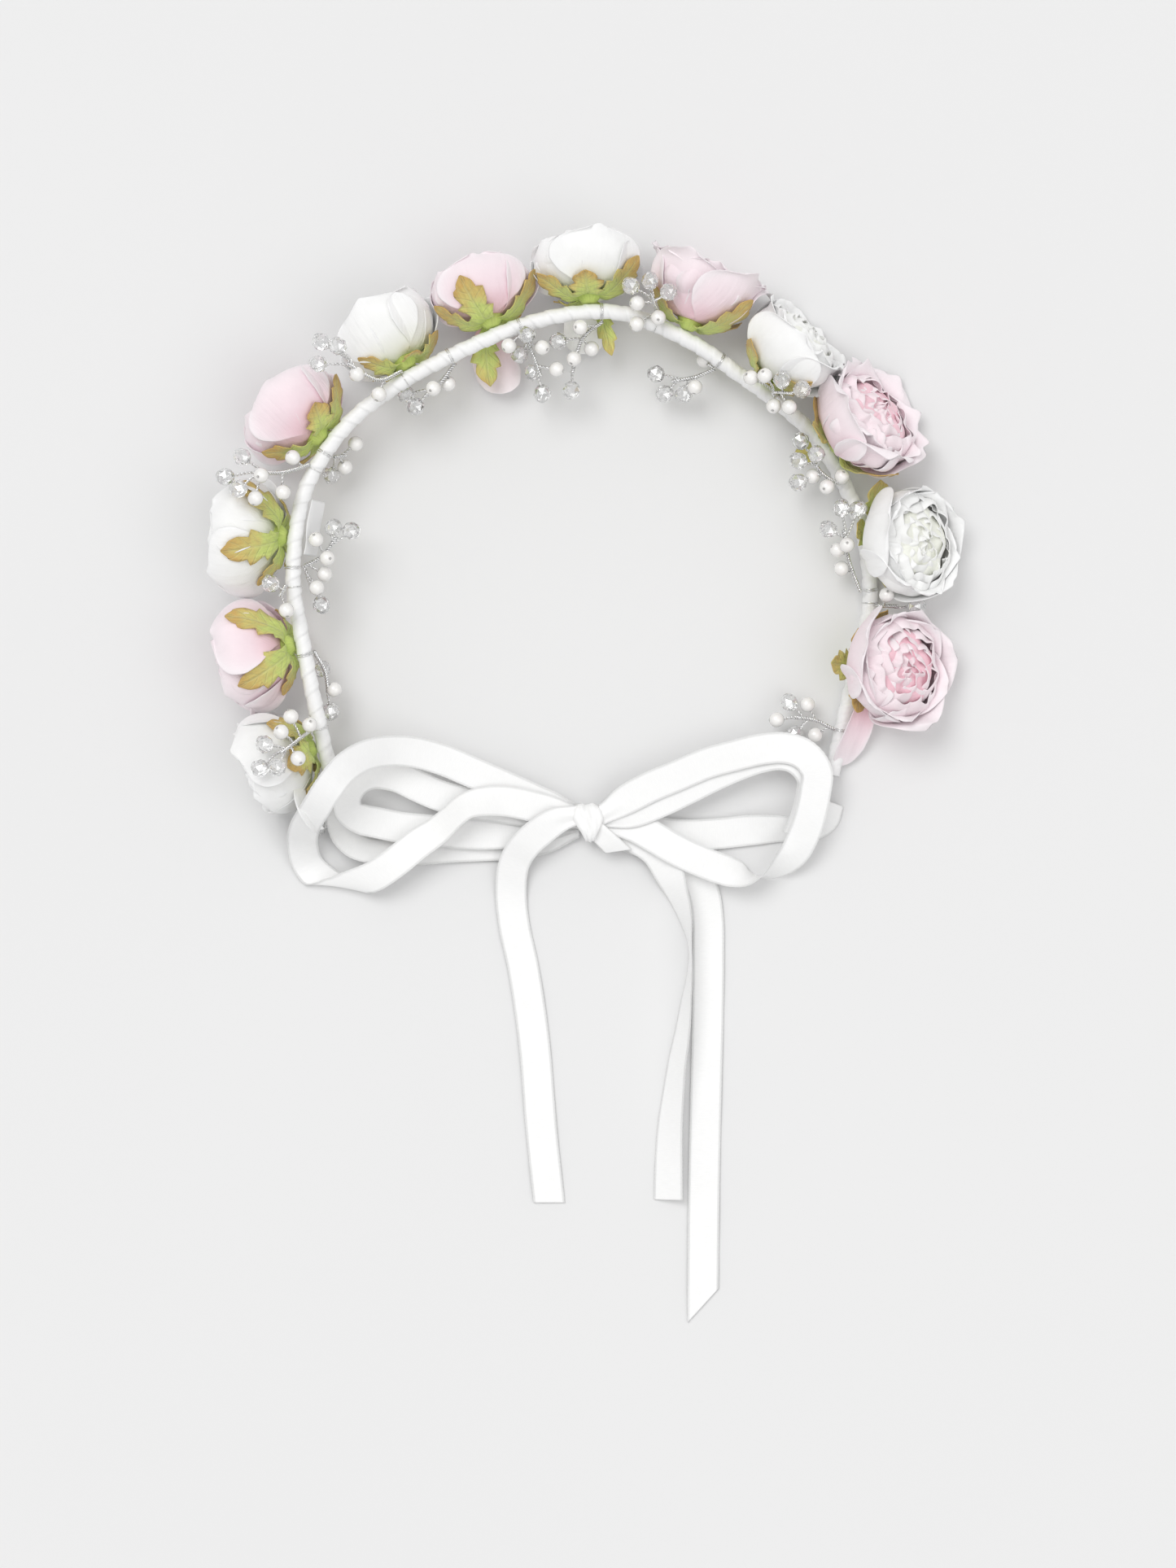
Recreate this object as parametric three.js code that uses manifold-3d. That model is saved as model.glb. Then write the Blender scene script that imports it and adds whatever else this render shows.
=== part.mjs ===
// A child's flower crown: a ribbon-wrapped wire band that carries twelve fabric flower heads in their
// leafy calyxes, hand-bent wire sprigs of pearls and crystals, and a satin ribbon tied in a bow.
// Units are millimetres, +Z is up, and the crown lies on the table at z = 0 with its bow towards -Y.
import * as THREE from 'three';
import { mergeGeometries, mergeVertices } from 'three/addons/utils/BufferGeometryUtils.js';
import Module from 'manifold-3d';

const wasm = await Module();
wasm.setup();

// ---- Driving dimensions -------------------------------------------------------------------------

const RING_CENTRE = new THREE.Vector3(0.3, -10.3, 0.1); // the band's middle, from the part's origin
const GAP = 0.35; // clearance between pieces that touch
const WIRE_RADIUS = 1.1; // the steel wire inside the band
const WRAP_RADIUS = 2.5; // the band with its satin wrap
const BAND_STEPS = 36;
const HUB_LENGTH = 3; // calyx base, from the band to the flower
const HUB_RADIUS = 4.2;
const SEPAL_THICKNESS = 0.6;
const SEPAL_ROOT = [2, 1.8]; // radius and height in the hub where a free sepal starts
const SEPAL_LIFT = 0.95; // how far a sepal's middle stands off the petals
const RIBBON_WIDTH = 10;
const RIBBON_THICKNESS = 0.5;
const RIBBON_STEP = 3; // length of one straight facet of ribbon
const PEARL_RADIUS = 2.5;
const CRYSTAL_RADIUS = 2.9;
const SPRIG_WIRE_RADIUS = 0.45;
const BRANCH_BACK = 3; // a bead's stem leaves the main stem this far before the nearest point

// ---- Materials ----------------------------------------------------------------------------------

const finish = (color, roughness, metalness = 0) =>
  () => new THREE.MeshStandardMaterial({ color, roughness, metalness });
const satin = finish('#fbfbfc', 0.45);
const pinkPetal = finish('#f6d3d9', 0.8);
const whitePetal = finish('#fafaf5', 0.8);
const leaf = finish('#a6b452', 0.75);
const steel = finish('#a9abad', 0.35, 1);
const silverWithBeads = finish('#e4e3df', 0.25, 0.4);
const labelTape = finish('#fdfdfd', 0.6);

// ---- Helpers ------------------------------------------------------------------------------------

const crown = new THREE.Group();
crown.position.copy(RING_CENTRE);

const point = ([x, y, z]) => new THREE.Vector3(x, y, z);
const radians = THREE.MathUtils.degToRad;

function addPiece(name, geometry, material, parent = crown) {
  const mesh = new THREE.Mesh(geometry, material());
  mesh.name = name;
  parent.add(mesh);
  return mesh;
}

function welded(geometry) {
  const bare = geometry.clone();
  bare.deleteAttribute('normal');
  bare.deleteAttribute('uv');
  return mergeVertices(bare, 1e-4);
}

function toSolid(geometry) {
  const bare = welded(geometry);
  return new wasm.Manifold(new wasm.Mesh({
    numProp: 3,
    vertProperties: new Float32Array(bare.attributes.position.array),
    triVerts: new Uint32Array(bare.index.array),
  }));
}

function joined(geometries) {
  const whole = geometries.map(toSolid).reduce((sum, solid) => sum.add(solid));
  const { vertProperties, triVerts } = whole.getMesh();
  const geometry = new THREE.BufferGeometry();
  geometry.setAttribute('position', new THREE.BufferAttribute(vertProperties, 3));
  geometry.setIndex(new THREE.BufferAttribute(triVerts, 1));
  return geometry;
}

// A flat strip: stations are { centre, across, normal, width } along its length.
function strip(stations, thickness) {
  const geometry = new THREE.BoxGeometry(1, 1, 1, 1, 1, stations.length - 1);
  const places = geometry.attributes.position;
  const corner = new THREE.Vector3();
  for (let i = 0; i < places.count; i += 1) {
    corner.fromBufferAttribute(places, i);
    const { centre, across, normal, width } = stations[Math.round((0.5 - corner.z) * (stations.length - 1))];
    const place = centre.clone()
      .addScaledVector(across, corner.x * width)
      .addScaledVector(normal, corner.y * thickness);
    places.setXYZ(i, place.x, place.y, place.z);
  }
  return geometry;
}

// ---- Band: a spring-steel wire in a satin sleeve, open where the bow closes it --------------------

const bandRoute = new THREE.CatmullRomCurve3([
  [-81.5, -68, 15], [-84, -58, 18.3], [-87.5, -42, 20.8], [-91.5, -21, 22.3], [-94, -5, 22.8], [-93, 13, 23],
  [-90, 26, 23], [-85.5, 35, 23], [-75.5, 48, 23], [-60, 60, 22.6], [-41.5, 70, 22.2], [-20.5, 79, 21.9],
  [-4, 83, 21.6], [11, 83.5, 21], [22.5, 80, 20], [38, 72.5, 17.8], [49, 65, 15.6], [64.5, 54, 12],
  [75.5, 44, 9.2], [84, 31, 6.8], [91.5, 13, 4.5], [94, -10, 3.3], [91, -26, 2.8], [87.5, -40, 2.9],
  [84.5, -53, 3.2], [81.5, -67, 3.8],
].map(point));

const circle = (radius) => new THREE.Shape().absarc(0, 0, radius, 0, Math.PI * 2);
const alongBand = (steps, halfSides) => ({ steps, curveSegments: halfSides, extrudePath: bandRoute, bevelEnabled: false });

addPiece('band_core_wire', new THREE.ExtrudeGeometry(circle(WIRE_RADIUS), alongBand(BAND_STEPS, 3)), steel);

const sleeve = circle(WRAP_RADIUS);
sleeve.holes.push(circle(WIRE_RADIUS + GAP));
addPiece('band_satin_wrap', new THREE.ExtrudeGeometry(sleeve, alongBand(BAND_STEPS, 4)), satin);

// The blank care label is a folded tape that hangs inside the band.
const LABEL = { along: 0.204, length: 18, width: 8.5, thickness: 0.7, slope: 62 };
const labelPlace = bandRoute.getPointAt(LABEL.along);
const labelRun = bandRoute.getTangentAt(LABEL.along);
const labelInward = new THREE.Vector3(labelRun.y, -labelRun.x, 0).normalize();
const label = addPiece(
  'label_tape',
  new THREE.BoxGeometry(LABEL.length, LABEL.width, LABEL.thickness),
  labelTape,
);
const labelDown = labelInward.clone().multiplyScalar(Math.cos(radians(LABEL.slope)));
labelDown.z = -Math.sin(radians(LABEL.slope));
label.position.copy(labelPlace)
  .addScaledVector(labelInward, WRAP_RADIUS + 2 * GAP + LABEL.thickness)
  .addScaledVector(labelDown, LABEL.width / 2 - 1);
label.quaternion.setFromRotationMatrix(new THREE.Matrix4().makeBasis(
  labelRun,
  labelDown,
  labelRun.clone().cross(labelDown),
));

// ---- Flowers: each head sits in a calyx that is glued to the band ---------------------------------

// place is the flower's distance along the band as a share of its length, heading is its direction in
// plan from +X, and tilt its rise above the table. A sepal is [turn from the flower's top, reach, width],
// and lies on the petals up to a reach of 1. With two more numbers it stands off them: it is reach mm long
// and bends from the first angle to the second.
const FLOWERS = [
  {
    colour: 'white', place: 0.03, heading: 200, tilt: -8, radius: 15.8, depth: 20,
    sepals: [[-45, 0.8, 7.5], [12, 0.72, 9], [-120, 0.5, 7], [150, 0.55, 7], [84, 0.85, 6.5]],
  },
  {
    colour: 'pink', place: 0.112, heading: 194, tilt: -20, radius: 16.8, depth: 20,
    sepals: [[-45, 1, 8.5], [28, 1, 9], [82, 0.66, 6.5], [-120, 0.6, 7.5], [160, 0.6, 7.5]],
  },
  {
    colour: 'white', place: 0.195, heading: 177, tilt: -20, radius: 17.5, depth: 19,
    sepals: [[-52, 0.98, 8.5], [18, 1, 9], [76, 0.7, 6.5], [-122, 0.6, 7.5], [150, 0.6, 7.5]],
  },
  {
    colour: 'pink', place: 0.272, heading: 137, tilt: -20, radius: 17, depth: 19,
    sepals: [[-28, 0.6, 9], [-78, 0.85, 7.5], [66, 0.8, 7.5], [-150, 0.6, 7.5], [140, 0.6, 7.5]],
  },
  {
    colour: 'white', place: 0.36, heading: 123, tilt: -20, radius: 16.5, depth: 19,
    sepals: [[50, 0.72, 6.5], [-98, 0.62, 9.5], [-30, 0.3, 6.5], [180, 0.6, 7.5], [120, 0.6, 7.5]],
  },
  {
    colour: 'pink', place: 0.431, heading: 107, tilt: -20, radius: 15.8, depth: 18,
    sepals: [[17, 0.95, 9], [-79, 0.98, 9], [72, 0.85, 7.5], [150, 20, 8.5, -25, -95], [-140, 0.6, 7.5]],
  },
  {
    colour: 'white', place: 0.508, heading: 94, tilt: -20, radius: 16.8, depth: 16.5,
    sepals: [[3, 0.62, 9.5], [-60, 0.92, 9], [64, 0.8, 8.5], [-152, 19, 6, -25, -95], [130, 0.6, 7.5]],
  },
  {
    colour: 'pink', place: 0.586, heading: 69, tilt: -2, radius: 16.5, depth: 20,
    sepals: [[-56, 1, 9], [64, 0.8, 8], [-112, 0.75, 7.5], [130, 0.6, 7.5], [-170, 0.6, 7.5]],
  },
  {
    colour: 'white', place: 0.656, heading: 45, tilt: 12, radius: 15.8, depth: 20,
    sepals: [[45, 0.75, 7.5], [-42, 0.9, 7.5], [0, 0.35, 7.5], [130, 0.6, 7.5], [-130, 0.6, 7.5]],
  },
  {
    colour: 'pink', place: 0.735, heading: 38, tilt: 30, radius: 17, depth: 21,
    sepals: [[40, 14, 7.5, 16, 6], [72, 0.75, 7.5], [-72, 1, 8], [-130, 0.6, 7.5], [175, 0.6, 7.5]],
  },
  {
    colour: 'white', place: 0.817, heading: 6, tilt: 44, radius: 17, depth: 21,
    sepals: [[84, 20, 8, 10, 24], [36, 11, 7, 10, 0], [-84, 14, 5.5, 6, 30], [150, 0.6, 7.5], [-150, 0.6, 7.5]],
  },
  {
    colour: 'pink', place: 0.915, heading: 3, tilt: 50, radius: 17.5, depth: 21,
    sepals: [[10, 15, 9, 10, 0], [95, 0.85, 7.5], [66, 0.6, 6.5], [-60, 0.6, 7.5], [-150, 0.6, 7.5]],
  },
];

// A head's outline as shares of its radius and depth: the outer petals, their rim, and the ruffled heart.
const HEAD_OUTLINE = [
  [0, 0], [0.33, 0.03], [0.67, 0.19], [0.92, 0.43], [1, 0.67], [0.96, 0.88], [0.82, 1],
  [0.56, 0.86], [0.28, 0.96], [0, 1],
];
const HEAD_SIDES = 13;
const PETALS_ROUND = 5;
const PETAL_WAVE = 0.05;

// A sepal's line as shares of the head's radius and depth, outside the petals.
const SEPAL_OUTLINE = [[0.1, 0.01], [0.38, -0.03], [0.7, 0.14], [0.97, 0.4], [1.07, 0.66]];
const SEPAL_SHAPE = [0.5, 1, 0.9, 0.16]; // its width along that line

function headGeometry({ radius, depth }) {
  const outline = HEAD_OUTLINE.map(([r, a]) => new THREE.Vector2(r * radius, a * depth));
  const geometry = new THREE.LatheGeometry(outline, HEAD_SIDES);
  const places = geometry.attributes.position;
  for (let i = 0; i < places.count; i += 1) {
    const [x, y, z] = [places.getX(i), places.getY(i), places.getZ(i)];
    const openness = (y / depth) ** 3;
    const wave = 1 - PETAL_WAVE * openness * (1 - Math.cos(PETALS_ROUND * Math.atan2(z, x)));
    places.setXYZ(i, x * wave, y, z * wave);
  }
  return geometry;
}

function sepalLine({ radius, depth }, [, reach, , start, end]) {
  if (start === undefined) {
    const outline = new THREE.CatmullRomCurve3(SEPAL_OUTLINE.map(([r, a]) => (
      new THREE.Vector3(r * radius + SEPAL_LIFT * 0.3, a * depth + HUB_LENGTH + GAP - SEPAL_LIFT * (1 - a), 0)
    )));
    return SEPAL_SHAPE.map((_, i) => {
      const t = (i / (SEPAL_SHAPE.length - 1)) * reach;
      return { place: outline.getPoint(t), run: outline.getTangent(t) };
    });
  }
  const place = new THREE.Vector3(...SEPAL_ROOT, 0);
  const step = reach / (SEPAL_SHAPE.length - 1);
  return SEPAL_SHAPE.map((_, i) => {
    const bend = radians(THREE.MathUtils.lerp(start, end, i / (SEPAL_SHAPE.length - 1)));
    const run = new THREE.Vector3(Math.cos(bend), Math.sin(bend), 0);
    if (i > 0) place.addScaledVector(run, step);
    return { place: place.clone(), run };
  });
}

function sepalGeometry(flower, sepal) {
  const [turn, , width] = sepal;
  const stations = sepalLine(flower, sepal).map(({ place, run }, i) => ({
    centre: place,
    across: new THREE.Vector3(0, 0, 1),
    normal: new THREE.Vector3(-run.y, run.x, 0),
    width: width * SEPAL_SHAPE[i],
  }));
  return strip(stations, SEPAL_THICKNESS).rotateY(-radians(turn));
}

function calyxGeometry(flower) {
  const hub = new THREE.LatheGeometry([
    new THREE.Vector2(0, 0), new THREE.Vector2(HUB_RADIUS * 0.45, 0),
    new THREE.Vector2(HUB_RADIUS, HUB_LENGTH), new THREE.Vector2(0, HUB_LENGTH),
  ], 8);
  return joined([hub, ...flower.sepals.map((sepal) => sepalGeometry(flower, sepal))]);
}

FLOWERS.forEach((flower, i) => {
  const number = String(i + 1).padStart(2, '0');
  const [heading, tilt] = [radians(flower.heading), radians(flower.tilt)];
  const axis = new THREE.Vector3(
    Math.cos(tilt) * Math.cos(heading),
    Math.cos(tilt) * Math.sin(heading),
    Math.sin(tilt),
  );
  const side = new THREE.Vector3(-Math.sin(heading), Math.cos(heading), 0);
  const top = side.clone().cross(axis).negate();
  const holder = new THREE.Group();
  holder.quaternion.setFromRotationMatrix(new THREE.Matrix4().makeBasis(top, axis, top.clone().cross(axis)));
  holder.position.copy(bandRoute.getPointAt(flower.place)).addScaledVector(axis, WRAP_RADIUS + GAP);
  crown.add(holder);
  addPiece(`calyx_${number}`, calyxGeometry(flower), leaf, holder);
  const petals = flower.colour === 'pink' ? pinkPetal : whitePetal;
  const head = addPiece(`flower_${number}_${flower.colour}_petals`, headGeometry(flower), petals, holder);
  head.position.y = HUB_LENGTH + GAP;
});

// ---- Bead sprigs: pearls (P) and crystals (C) on twisted silver wire --------------------------------

// Each sprig leaves the band at the first point of its stem. Its beads hang on short branches.
const SPRIGS = [
  { name: 'a', stem: [[-58.8, 64.2, 24.6], [-66, 61, 30], [-76, 66, 37]],
    P: [[-66, 56.4, 31], [-73.1, 62.8, 34]],
    C: [[-84.5, 73, 38], [-79, 71.5, 40], [-85.5, 66, 36]] },
  { name: 'b', stem: [[-41.5, 67, 21], [-46, 61, 21], [-51, 56.5, 20]],
    P: [[-48.5, 58.6, 26], [-43.8, 60.5, 18]],
    C: [[-54.3, 53, 20], [-57.5, 57, 17]] },
  { name: 'c', stem: [[-88.8, 33.8, 25], [-97, 31, 32], [-106, 31, 36]],
    P: [[-94, 36, 29.5], [-103.9, 29.9, 38], [-105.7, 22.5, 38], [-97, 24.6, 33]],
    C: [[-110.2, 36, 34], [-115.5, 29.5, 36], [-111, 25.5, 40]] },
  { name: 'd', stem: [[-81, 36.5, 19], [-77, 37, 16]],
    P: [[-74, 41, 16], [-77.5, 33.5, 14]],
    C: [[-82, 31, 12]] },
  { name: 'e', stem: [[-90.5, 1, 20.5], [-85, 4, 21], [-80, 10.5, 22]],
    P: [[-86.5, 9.5, 26], [-82.9, 3.5, 25.5], [-84, -1.5, 19], [-86.5, -6, 22]],
    C: [[-81, 13.5, 20], [-75.2, 12.5, 23], [-85, -11.5, 20]] },
  { name: 'f', stem: [[-96.4, -5.5, 25.4], [-98, -9, 30]],
    P: [[-96, -13.5, 31]],
    C: [[-101, -5, 33]] },
  { name: 'g', stem: [[-87.5, -26.5, 20], [-84, -33, 17], [-83, -40, 14]],
    P: [[-81, -39, 14]],
    C: [[-85, -32.3, 12], [-82.2, -46.1, 12]] },
  { name: 'h', stem: [[-88.2, -52.2, 21.4], [-91.5, -55, 29], [-97.5, -60, 35]],
    P: [[-94.5, -48, 32], [-97.5, -53, 35.5], [-88.5, -50.6, 29.5], [-92, -61.5, 36]],
    C: [[-102.8, -57, 38], [-104.1, -64.7, 38], [-98.5, -64.4, 41]] },
  { name: 'i', stem: [[-84.6, -67, 13], [-85.5, -76, 7], [-87, -82, 4]],
    P: [],
    C: [[-91, -86.2, 3.6], [-86.6, -83.7, 3.6]] },
  { name: 'j', stem: [[6.4, 80.6, 19.5], [0, 75.3, 18], [-3.5, 64, 16]],
    P: [[-0.8, 78.5, 24.5], [2.8, 72, 16], [-2.9, 68.5, 20]],
    C: [[-8, 74.5, 16.5], [-3.7, 58.6, 15]] },
  { name: 'k', stem: [[-19, 76.4, 20.5], [-16.5, 70.5, 19], [-13.8, 63, 17]],
    P: [[-24, 72.5, 24], [-13.2, 72, 24], [-8.5, 65, 21]],
    C: [[-18, 76, 26.2], [-20.5, 70, 17], [-16.2, 64.5, 13.5], [-13.2, 57.5, 16]] },
  { name: 'l', stem: [[25.5, 82, 20], [23.5, 85, 26], [22, 89, 30]],
    P: [[17.6, 86, 30], [24.5, 81.5, 27], [17.5, 79.5, 25.5]],
    C: [[15.6, 91.5, 31], [21.8, 93, 31], [27.8, 89.5, 32]] },
  { name: 'm', stem: [[42.9, 65.4, 15], [37, 63, 14], [29, 61.5, 13]],
    P: [[36.5, 59.5, 15.5], [39.5, 68.5, 11]],
    C: [[23.9, 63.9, 13], [26.8, 57.5, 12], [33, 57.5, 11.5]] },
  { name: 'n', stem: [[63.8, 55.8, 15.6], [62, 57.5, 23], [68, 57, 28]],
    P: [[54.5, 62, 28], [59, 62.5, 30.5], [62, 53, 23], [67, 52.5, 26]],
    C: [[64.5, 61, 31], [71, 58, 31]] },
  { name: 'o', stem: [[83.5, 28, 10.5], [78.5, 31, 13], [74.5, 36, 15]],
    P: [[84.5, 30.5, 13.5], [79.5, 27, 16], [75, 30.5, 12]],
    C: [[71, 42, 14.5], [76, 37.5, 20], [70.3, 35.5, 15], [70.2, 28.5, 14]] },
  { name: 'p', stem: [[90.5, -7, 8.8], [86.8, 3, 12], [84.8, 13, 15]],
    P: [[84.5, 0.5, 10], [86, 8, 18.5], [83, 6.5, 14]],
    C: [[84.3, 20, 17], [89.5, 19.5, 18], [80, 13.2, 15]] },
  { name: 'q', stem: [[96.5, -11.5, 9.2], [103, -11.8, 12]],
    P: [[99, -8.2, 16]],
    C: [[108.9, -11.8, 14]] },
  { name: 'r', stem: [[82.3, -52, 6.5], [76, -49, 7], [69, -48, 8]],
    P: [[63.3, -48.8, 9], [73.4, -43.8, 7], [76, -53.8, 5]],
    C: [[67.5, -43.2, 8], [69.5, -53.5, 4]] },
];

const WIRE_OVERLAP = 0.2; // neighbouring lengths of wire run into each other by this much

function wireGeometry(from, to) {
  const run = to.clone().sub(from);
  const length = run.length() + 2 * WIRE_OVERLAP;
  const rod = new THREE.CylinderGeometry(SPRIG_WIRE_RADIUS, SPRIG_WIRE_RADIUS, length, 3);
  rod.applyQuaternion(new THREE.Quaternion().setFromUnitVectors(new THREE.Vector3(0, 1, 0), run.normalize()));
  const middle = from.clone().add(to).multiplyScalar(0.5);
  return rod.translate(middle.x, middle.y, middle.z);
}

// The point of the stem where a bead's branch leaves it.
function branchPoint(stem, bead) {
  let best = { far: Infinity };
  for (let i = 1; i < stem.length; i += 1) {
    const line = new THREE.Line3(stem[i - 1], stem[i]);
    const near = line.closestPointToPointParameter(bead, true);
    const back = Math.max(0, near - BRANCH_BACK / line.distance());
    const far = line.at(near, new THREE.Vector3()).distanceTo(bead);
    if (far < best.far) best = { far, place: line.at(back, new THREE.Vector3()) };
  }
  return best.place;
}

function sprigGeometry({ stem, P, C }) {
  const line = stem.map(point);
  const solids = line.slice(1).map((end, i) => wireGeometry(line[i], end));
  const hang = (bead, geometry) => {
    const centre = point(bead);
    solids.push(wireGeometry(branchPoint(line, centre), centre));
    solids.push(geometry.translate(centre.x, centre.y, centre.z));
  };
  P.forEach((bead) => hang(bead, new THREE.IcosahedronGeometry(PEARL_RADIUS, 0)));
  C.forEach((bead) => hang(bead, new THREE.OctahedronGeometry(CRYSTAL_RADIUS, 0)));
  return joined(solids);
}

SPRIGS.forEach((sprig) => addPiece(`bead_sprig_${sprig.name}`, sprigGeometry(sprig), silverWithBeads));

// ---- Ribbons: 10 mm satin, tied in a bow with its tails laid on the table -----------------------------

// A station is [x, y, z, bearing, tilt]: the ribbon's middle, and the direction from one edge to the
// other as its bearing in plan from +X and its rise, in degrees.
const RIBBONS = {
  left_outer_loop: [
    [-3.4, -79, 6.4, -90, 0], [-13, -76, 6.8, -110, 0], [-24.5, -71, 7.6, -115, 0], [-36, -66, 9, -113, 0],
    [-45.5, -62, 11, -111, 0], [-54.5, -59.5, 14, -104, -5], [-63, -59, 18, -92, -8],
    [-70.5, -60.5, 23, -78, -10], [-77, -64.5, 27.5, -61, -15], [-82, -70.5, 29.5, -44, -22],
    [-86.5, -77.5, 27, -32, -26], [-90.5, -84, 18, -15, -20], [-91.5, -90.5, 6, 0, -8],
    [-90, -96, 1.6, 17, 0], [-85.5, -100.5, 1.2, 12, 0], [-79.5, -103.5, 3.2, -9, 0],
    [-73.5, -102, 6.2, -30, 0], [-67.5, -99.5, 8.4, -45, 3], [-61.5, -95.5, 9.8, -53, 5],
    [-54, -89.5, 10.4, -52, 10], [-47.5, -85, 11, -48, 25], [-42.5, -80.5, 11.6, -48, 34],
    [-38, -77, 11.8, -60, 30], [-32, -75.5, 11.2, -76, 18], [-24.5, -75.5, 9.8, -90, 6],
    [-14.5, -77.5, 8.3, -98, 0], [-3.4, -80, 7.6, -90, 0],
  ],
  left_inner_loop: [
    [-3.4, -81, 5.2, -90, 0], [-16.5, -79, 5.2, -98, 0], [-27.5, -77.5, 5.4, -100, 0],
    [-38, -76, 5.6, -108, 0], [-47, -73.5, 6, -112, 0], [-54, -70.5, 6.8, -115, 0],
    [-60.5, -67.5, 8, -115, 0], [-68, -66.5, 10, -95, -10], [-73.5, -69, 12, -60, -25],
    [-76.5, -73.5, 12, -25, -32], [-76.5, -78, 9.8, 20, -28], [-73, -81, 7.6, 65, -15],
    [-67, -82.5, 6.2, 80, -5], [-59.5, -84, 5.4, 84, 0], [-49.5, -85, 4.6, 88, 0], [-40, -86, 4, 90, 0],
    [-27.5, -86, 4, 92, 0], [-16.5, -84.5, 4, 94, 0], [-3.4, -82.5, 4, 90, 0],
  ],
  left_tie: [
    [-81.2, -71, 9.6, 175, -20], [-80, -76, 6.5, 178, -10], [-79, -82, 3.4, 195, 0],
    [-77, -87, 3.2, 225, 20], [-72.5, -91, 3.8, 252, 38], [-63.5, -92, 3.6, 270, 38],
    [-54, -91.5, 2.2, 272, 15], [-43.5, -90.5, 1.6, 272, 4], [-33, -90, 1.4, 272, 0],
    [-22.5, -89.5, 1.4, 270, 0], [-13.5, -88, 1.8, 272, 0], [-3.4, -85, 2.8, 270, 0],
  ],
  right_outer_loop: [
    [7.4, -79.5, 9, 90, 0], [13, -75.5, 9.4, 113, 4], [21.5, -71, 9.8, 113, 6], [31, -67, 10.2, 112, 6],
    [40.5, -63, 10.6, 107, 5], [49.5, -60.5, 11, 105, 5], [58, -58.5, 11.4, 98, 3],
    [65.5, -58, 11.8, 86, 2], [71, -59.5, 12.2, 58, 0], [74.5, -62.5, 12.4, 28, 0],
    [76.5, -66.5, 12.2, 8, 0], [76, -72, 11.6, -12, 0], [75, -77.5, 10.8, -16, 0], [73.5, -83, 9.8, -19, 0],
    [71.5, -88, 8.6, -25, -4], [69, -92.5, 7.4, -34, -20], [65, -96.5, 6.6, -47, -45],
    [60.5, -99.5, 6, -60, -75], [56, -100.5, 6, -80, -105], [51.5, -99.5, 6.4, -102, -145],
    [46.5, -98, 6.8, -107, -170], [41, -96, 7.2, -110, -180], [35, -93.5, 7.6, -113, -180],
    [29, -90.5, 7.6, -117, -180], [23, -87, 7.4, -118, -180], [16, -83.5, 7, -105, -180],
    [7.4, -82, 6.6, -90, -180],
  ],
  right_inner_loop: [
    [7.4, -80.5, 7.8, 90, 0], [15, -79.5, 8.2, 112, 4], [24.5, -76, 8.5, 113, 6], [34, -71.5, 8.8, 112, 6],
    [43, -67, 9.2, 109, 5], [51, -63.5, 9.6, 106, 5], [58.5, -61, 10, 98, 3], [64.5, -60.2, 10.4, 86, 2],
    [69.5, -61.5, 10.8, 58, 0], [73, -64.5, 11, 28, 0], [75, -68.5, 10.6, 8, 0],
    [74.6, -73, 10, -12, 0], [73.6, -78, 9.2, -16, 0], [72, -83, 8.2, -19, 0], [70, -87.5, 7.2, -25, -4],
  ],
  right_tie: [
    [7.4, -83.5, 2.2, 90, 0], [18.5, -84, 2.2, 86, 0], [27, -86, 1.8, 84, 0], [35.5, -86.5, 1.4, 90, 0],
    [45, -86, 1.4, 94, 0], [54, -85, 2, 95, 8], [61.5, -84.5, 3, 92, 26], [68.5, -84.5, 3.6, 90, 38],
    [74.5, -84.5, 3.6, 95, 38], [80, -81.5, 4, 130, 42], [82, -76, 4.6, 160, 45],
  ],
  left_tail: [
    [-3.4, -79, 9.4, -90, 0], [-8, -81.5, 9.4, -60, -8], [-13.5, -85, 9, -50, -10], [-19, -90, 7.6, -40, -8],
    [-22.5, -96, 4.4, -20, -3], [-23.5, -105, 1.4, -6, 0], [-22.5, -116, 0.6, 4, 0],
    [-19.5, -130, 0.6, 6, 0], [-16, -154, 0.6, 7, 0], [-13.5, -184, 0.6, 5, 0], [-11, -207, 0.6, 0, 0],
  ],
  middle_tail: [
    [7.4, -84, 4.8, 90, 0], [15, -86.5, 5, 75, 0], [23.5, -91.5, 5, 55, 0], [28, -98.5, 4.8, 32, 15],
    [30.5, -104.5, 4.8, 20, 42], [33, -112, 5, 8, 62], [35.2, -124, 5.3, 0, 86], [33.5, -144.5, 5, -6, 68],
    [30.5, -164, 4.4, -6, 54], [28.5, -183.5, 3.3, -5, 36], [28, -206, 2.4, 0, 24],
  ],
  right_tail: [
    [7.4, -85, 3.5, 90, 0], [17, -88, 3.4, 74, 0], [27.5, -91.5, 3.2, 64, 0], [35, -97, 2.4, 40, 0],
    [39.5, -105, 1.4, 20, 0], [41, -114, 0.7, 8, 0], [41.2, -125, 0.6, 0, 0], [41, -144.5, 0.6, -1, 0],
    [40.3, -174, 0.6, -1, 0], [39.7, -203.5, 0.6, 0, 0], [39.4, -232, 0.6, 12, 0], [39.4, -240.7, 0.6, 48, 0],
  ],
};

function ribbonStation(centre, run, [bearing, tilt]) {
  const flat = new THREE.Vector3(Math.cos(bearing), Math.sin(bearing), 0).multiplyScalar(Math.cos(tilt));
  const across = flat.add(new THREE.Vector3(0, 0, Math.sin(tilt)));
  const skew = Math.sqrt(Math.max(0.4, 1 - across.dot(run) ** 2));
  return {
    centre,
    across,
    normal: across.clone().cross(run).normalize(),
    width: RIBBON_WIDTH / skew,
  };
}

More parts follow.
